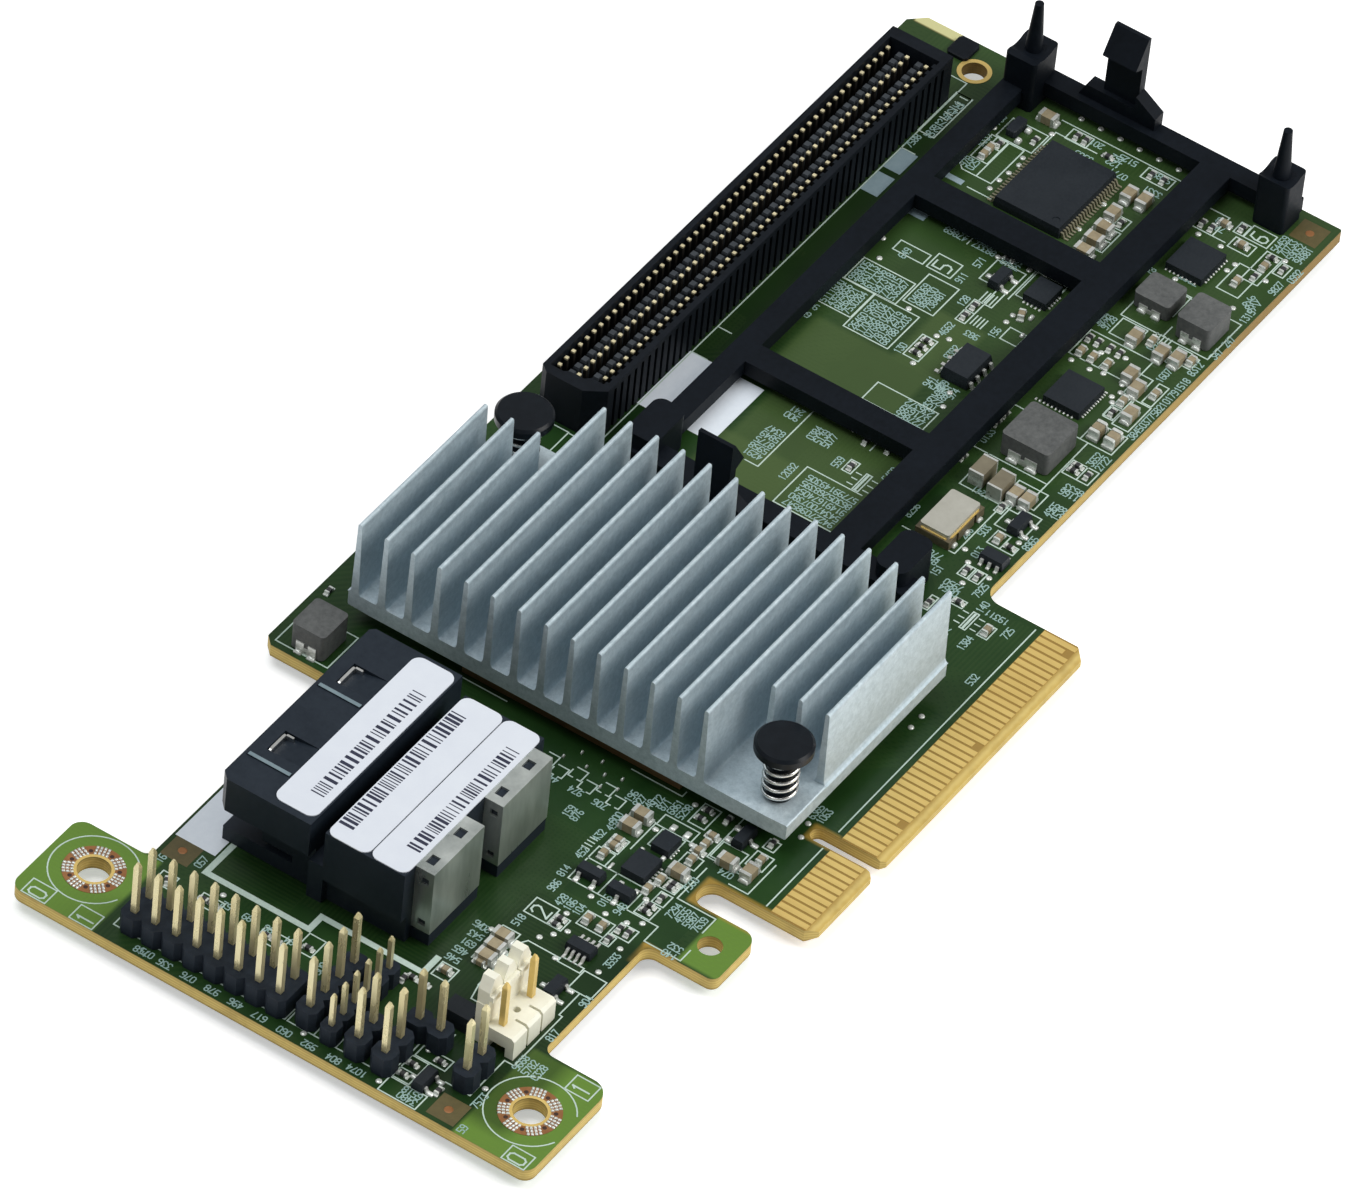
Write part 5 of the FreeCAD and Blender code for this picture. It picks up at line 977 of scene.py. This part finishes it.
low, high = millimetres(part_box("pin_springs"))
outer, half = spring["outer"], spring["wire"] / 2
coils = [coil(x, y, low[2] + half, high[2] - half)
         for x, y in ((low[0] + outer, low[1] + outer), (high[0] - outer, high[1] - outer))]
springPiece = putMesh("push_pin_springs", join(*coils), "steel", True)
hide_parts("pin_springs")
print("springs wound")

# Rows of plastic teeth between the contacts of the stacking connector.

stack = {"pitch": 1.27, "count": 50, "first": 35.1, "rows": (59.85, 62.3), "floor": 1.75,
         "size": (0.86, 0.78, 3.6), "levels": [(0, 1, 1), (0.92, 1, 1), (1, 0.8, 0.8)]}
teeth = [(stack["first"] + i * stack["pitch"], y, stack["floor"], *stack["size"], 0)
         for y in stack["rows"] for i in range(stack["count"])]
putMesh("stack_teeth", stamp(ringStack(squareOutline, stack["levels"]), teeth), "toothNylon")
print("teeth set:", len(teeth))

# Floor, light and camera.

stage = {
    "floor": (0.93, 0.93, 0.93), "floorRough": 0.9, "floorGlow": 0.45, "size": 2.6, "world": 0.20,
    "lamps": [  # name, place, size, power, colour
        ("keyLamp", (0.35, -0.75, 0.75), 0.6, 8.2, (1.0, 0.985, 0.96)),
        ("topLamp", (-0.1, 0.25, 1.0), 0.7, 5.4, (0.96, 0.98, 1.0)),
        ("fillLamp", (-0.9, 0.1, 0.5), 0.6, 0.5, (0.95, 0.98, 1.0)),
        ("backLamp", (0.85, 0.55, 0.85), 0.7, 0.5, (0.97, 0.99, 1.0))],
}
scene = bpy.context.scene
low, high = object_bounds()
half = stage["size"] / 2
floorMesh = bpy.data.meshes.new("floor")
floorMesh.from_pydata([(-half, -half, low[2]), (half, -half, low[2]), (half, half, low[2]), (-half, half, low[2])],
                      [], [(0, 1, 2, 3)])
floor = bpy.data.objects.new("floor", floorMesh)
scene.collection.objects.link(floor)
floorFinish, shader, place = newFinish("floorFinish")
feed(shader["Base Color"], stage["floor"])
feed(shader["Roughness"], stage["floorRough"])
# a glow that only the camera and reflections see keeps the floor pale without lighting the card
glow = addNode(place, "ShaderNodeEmission")
path = addNode(place, "ShaderNodeLightPath")
seen = maths("MAXIMUM", path.outputs["Is Camera Ray"], path.outputs["Is Glossy Ray"])
feed(glow.inputs["Strength"], times(seen, stage["floorGlow"]))
both = addNode(place, "ShaderNodeAddShader")
output = floorFinish.node_tree.get_output_node("ALL")
feed(both.inputs[0], output.inputs[0].links[0].from_socket)
feed(both.inputs[1], glow.outputs[0])
feed(output.inputs[0], both.outputs[0])
floorMesh.materials.append(floorFinish)

world = bpy.data.worlds.new("studio")
world.use_nodes = True
background = world.node_tree.nodes["Background"].inputs
background["Color"].default_value = (1, 1, 1, 1)
background["Strength"].default_value = stage["world"]
scene.world = world

centre = Vector(((low[0] + high[0]) / 2, (low[1] + high[1]) / 2, 0))
for name, place, size, power, colour in stage["lamps"]:
    lamp = bpy.data.lights.new(name, "AREA")
    lamp.shape = "SQUARE"
    lamp.size, lamp.energy, lamp.color = size, power, colour
    piece = bpy.data.objects.new(name, lamp)
    scene.collection.objects.link(piece)
    piece.location = place
    piece.rotation_euler = (centre - Vector(place)).to_track_quat("-Z", "Y").to_euler()

camera = {
    "lens": 360.0, "sensor": 36.0, "farthest": 10,
    "place": (-0.84092, -0.45044, 0.98438),
    "right": (0.55852, -0.82576, 0.07855),
    "back": (-0.61630, -0.34973, 0.70559),
}
lens = bpy.data.cameras.new("studioCamera")
lens.lens, lens.sensor_width, lens.clip_end = camera["lens"], camera["sensor"], camera["farthest"]
eye = bpy.data.objects.new("studioCamera", lens)
scene.collection.objects.link(eye)
up = np.cross(camera["back"], camera["right"])
turned = Matrix(np.column_stack([camera["right"], up, camera["back"]]).tolist()).to_4x4()
eye.matrix_world = Matrix.Translation(camera["place"]) @ turned
scene.camera = eye
scene.view_settings.view_transform = "Standard"
print("stage set")
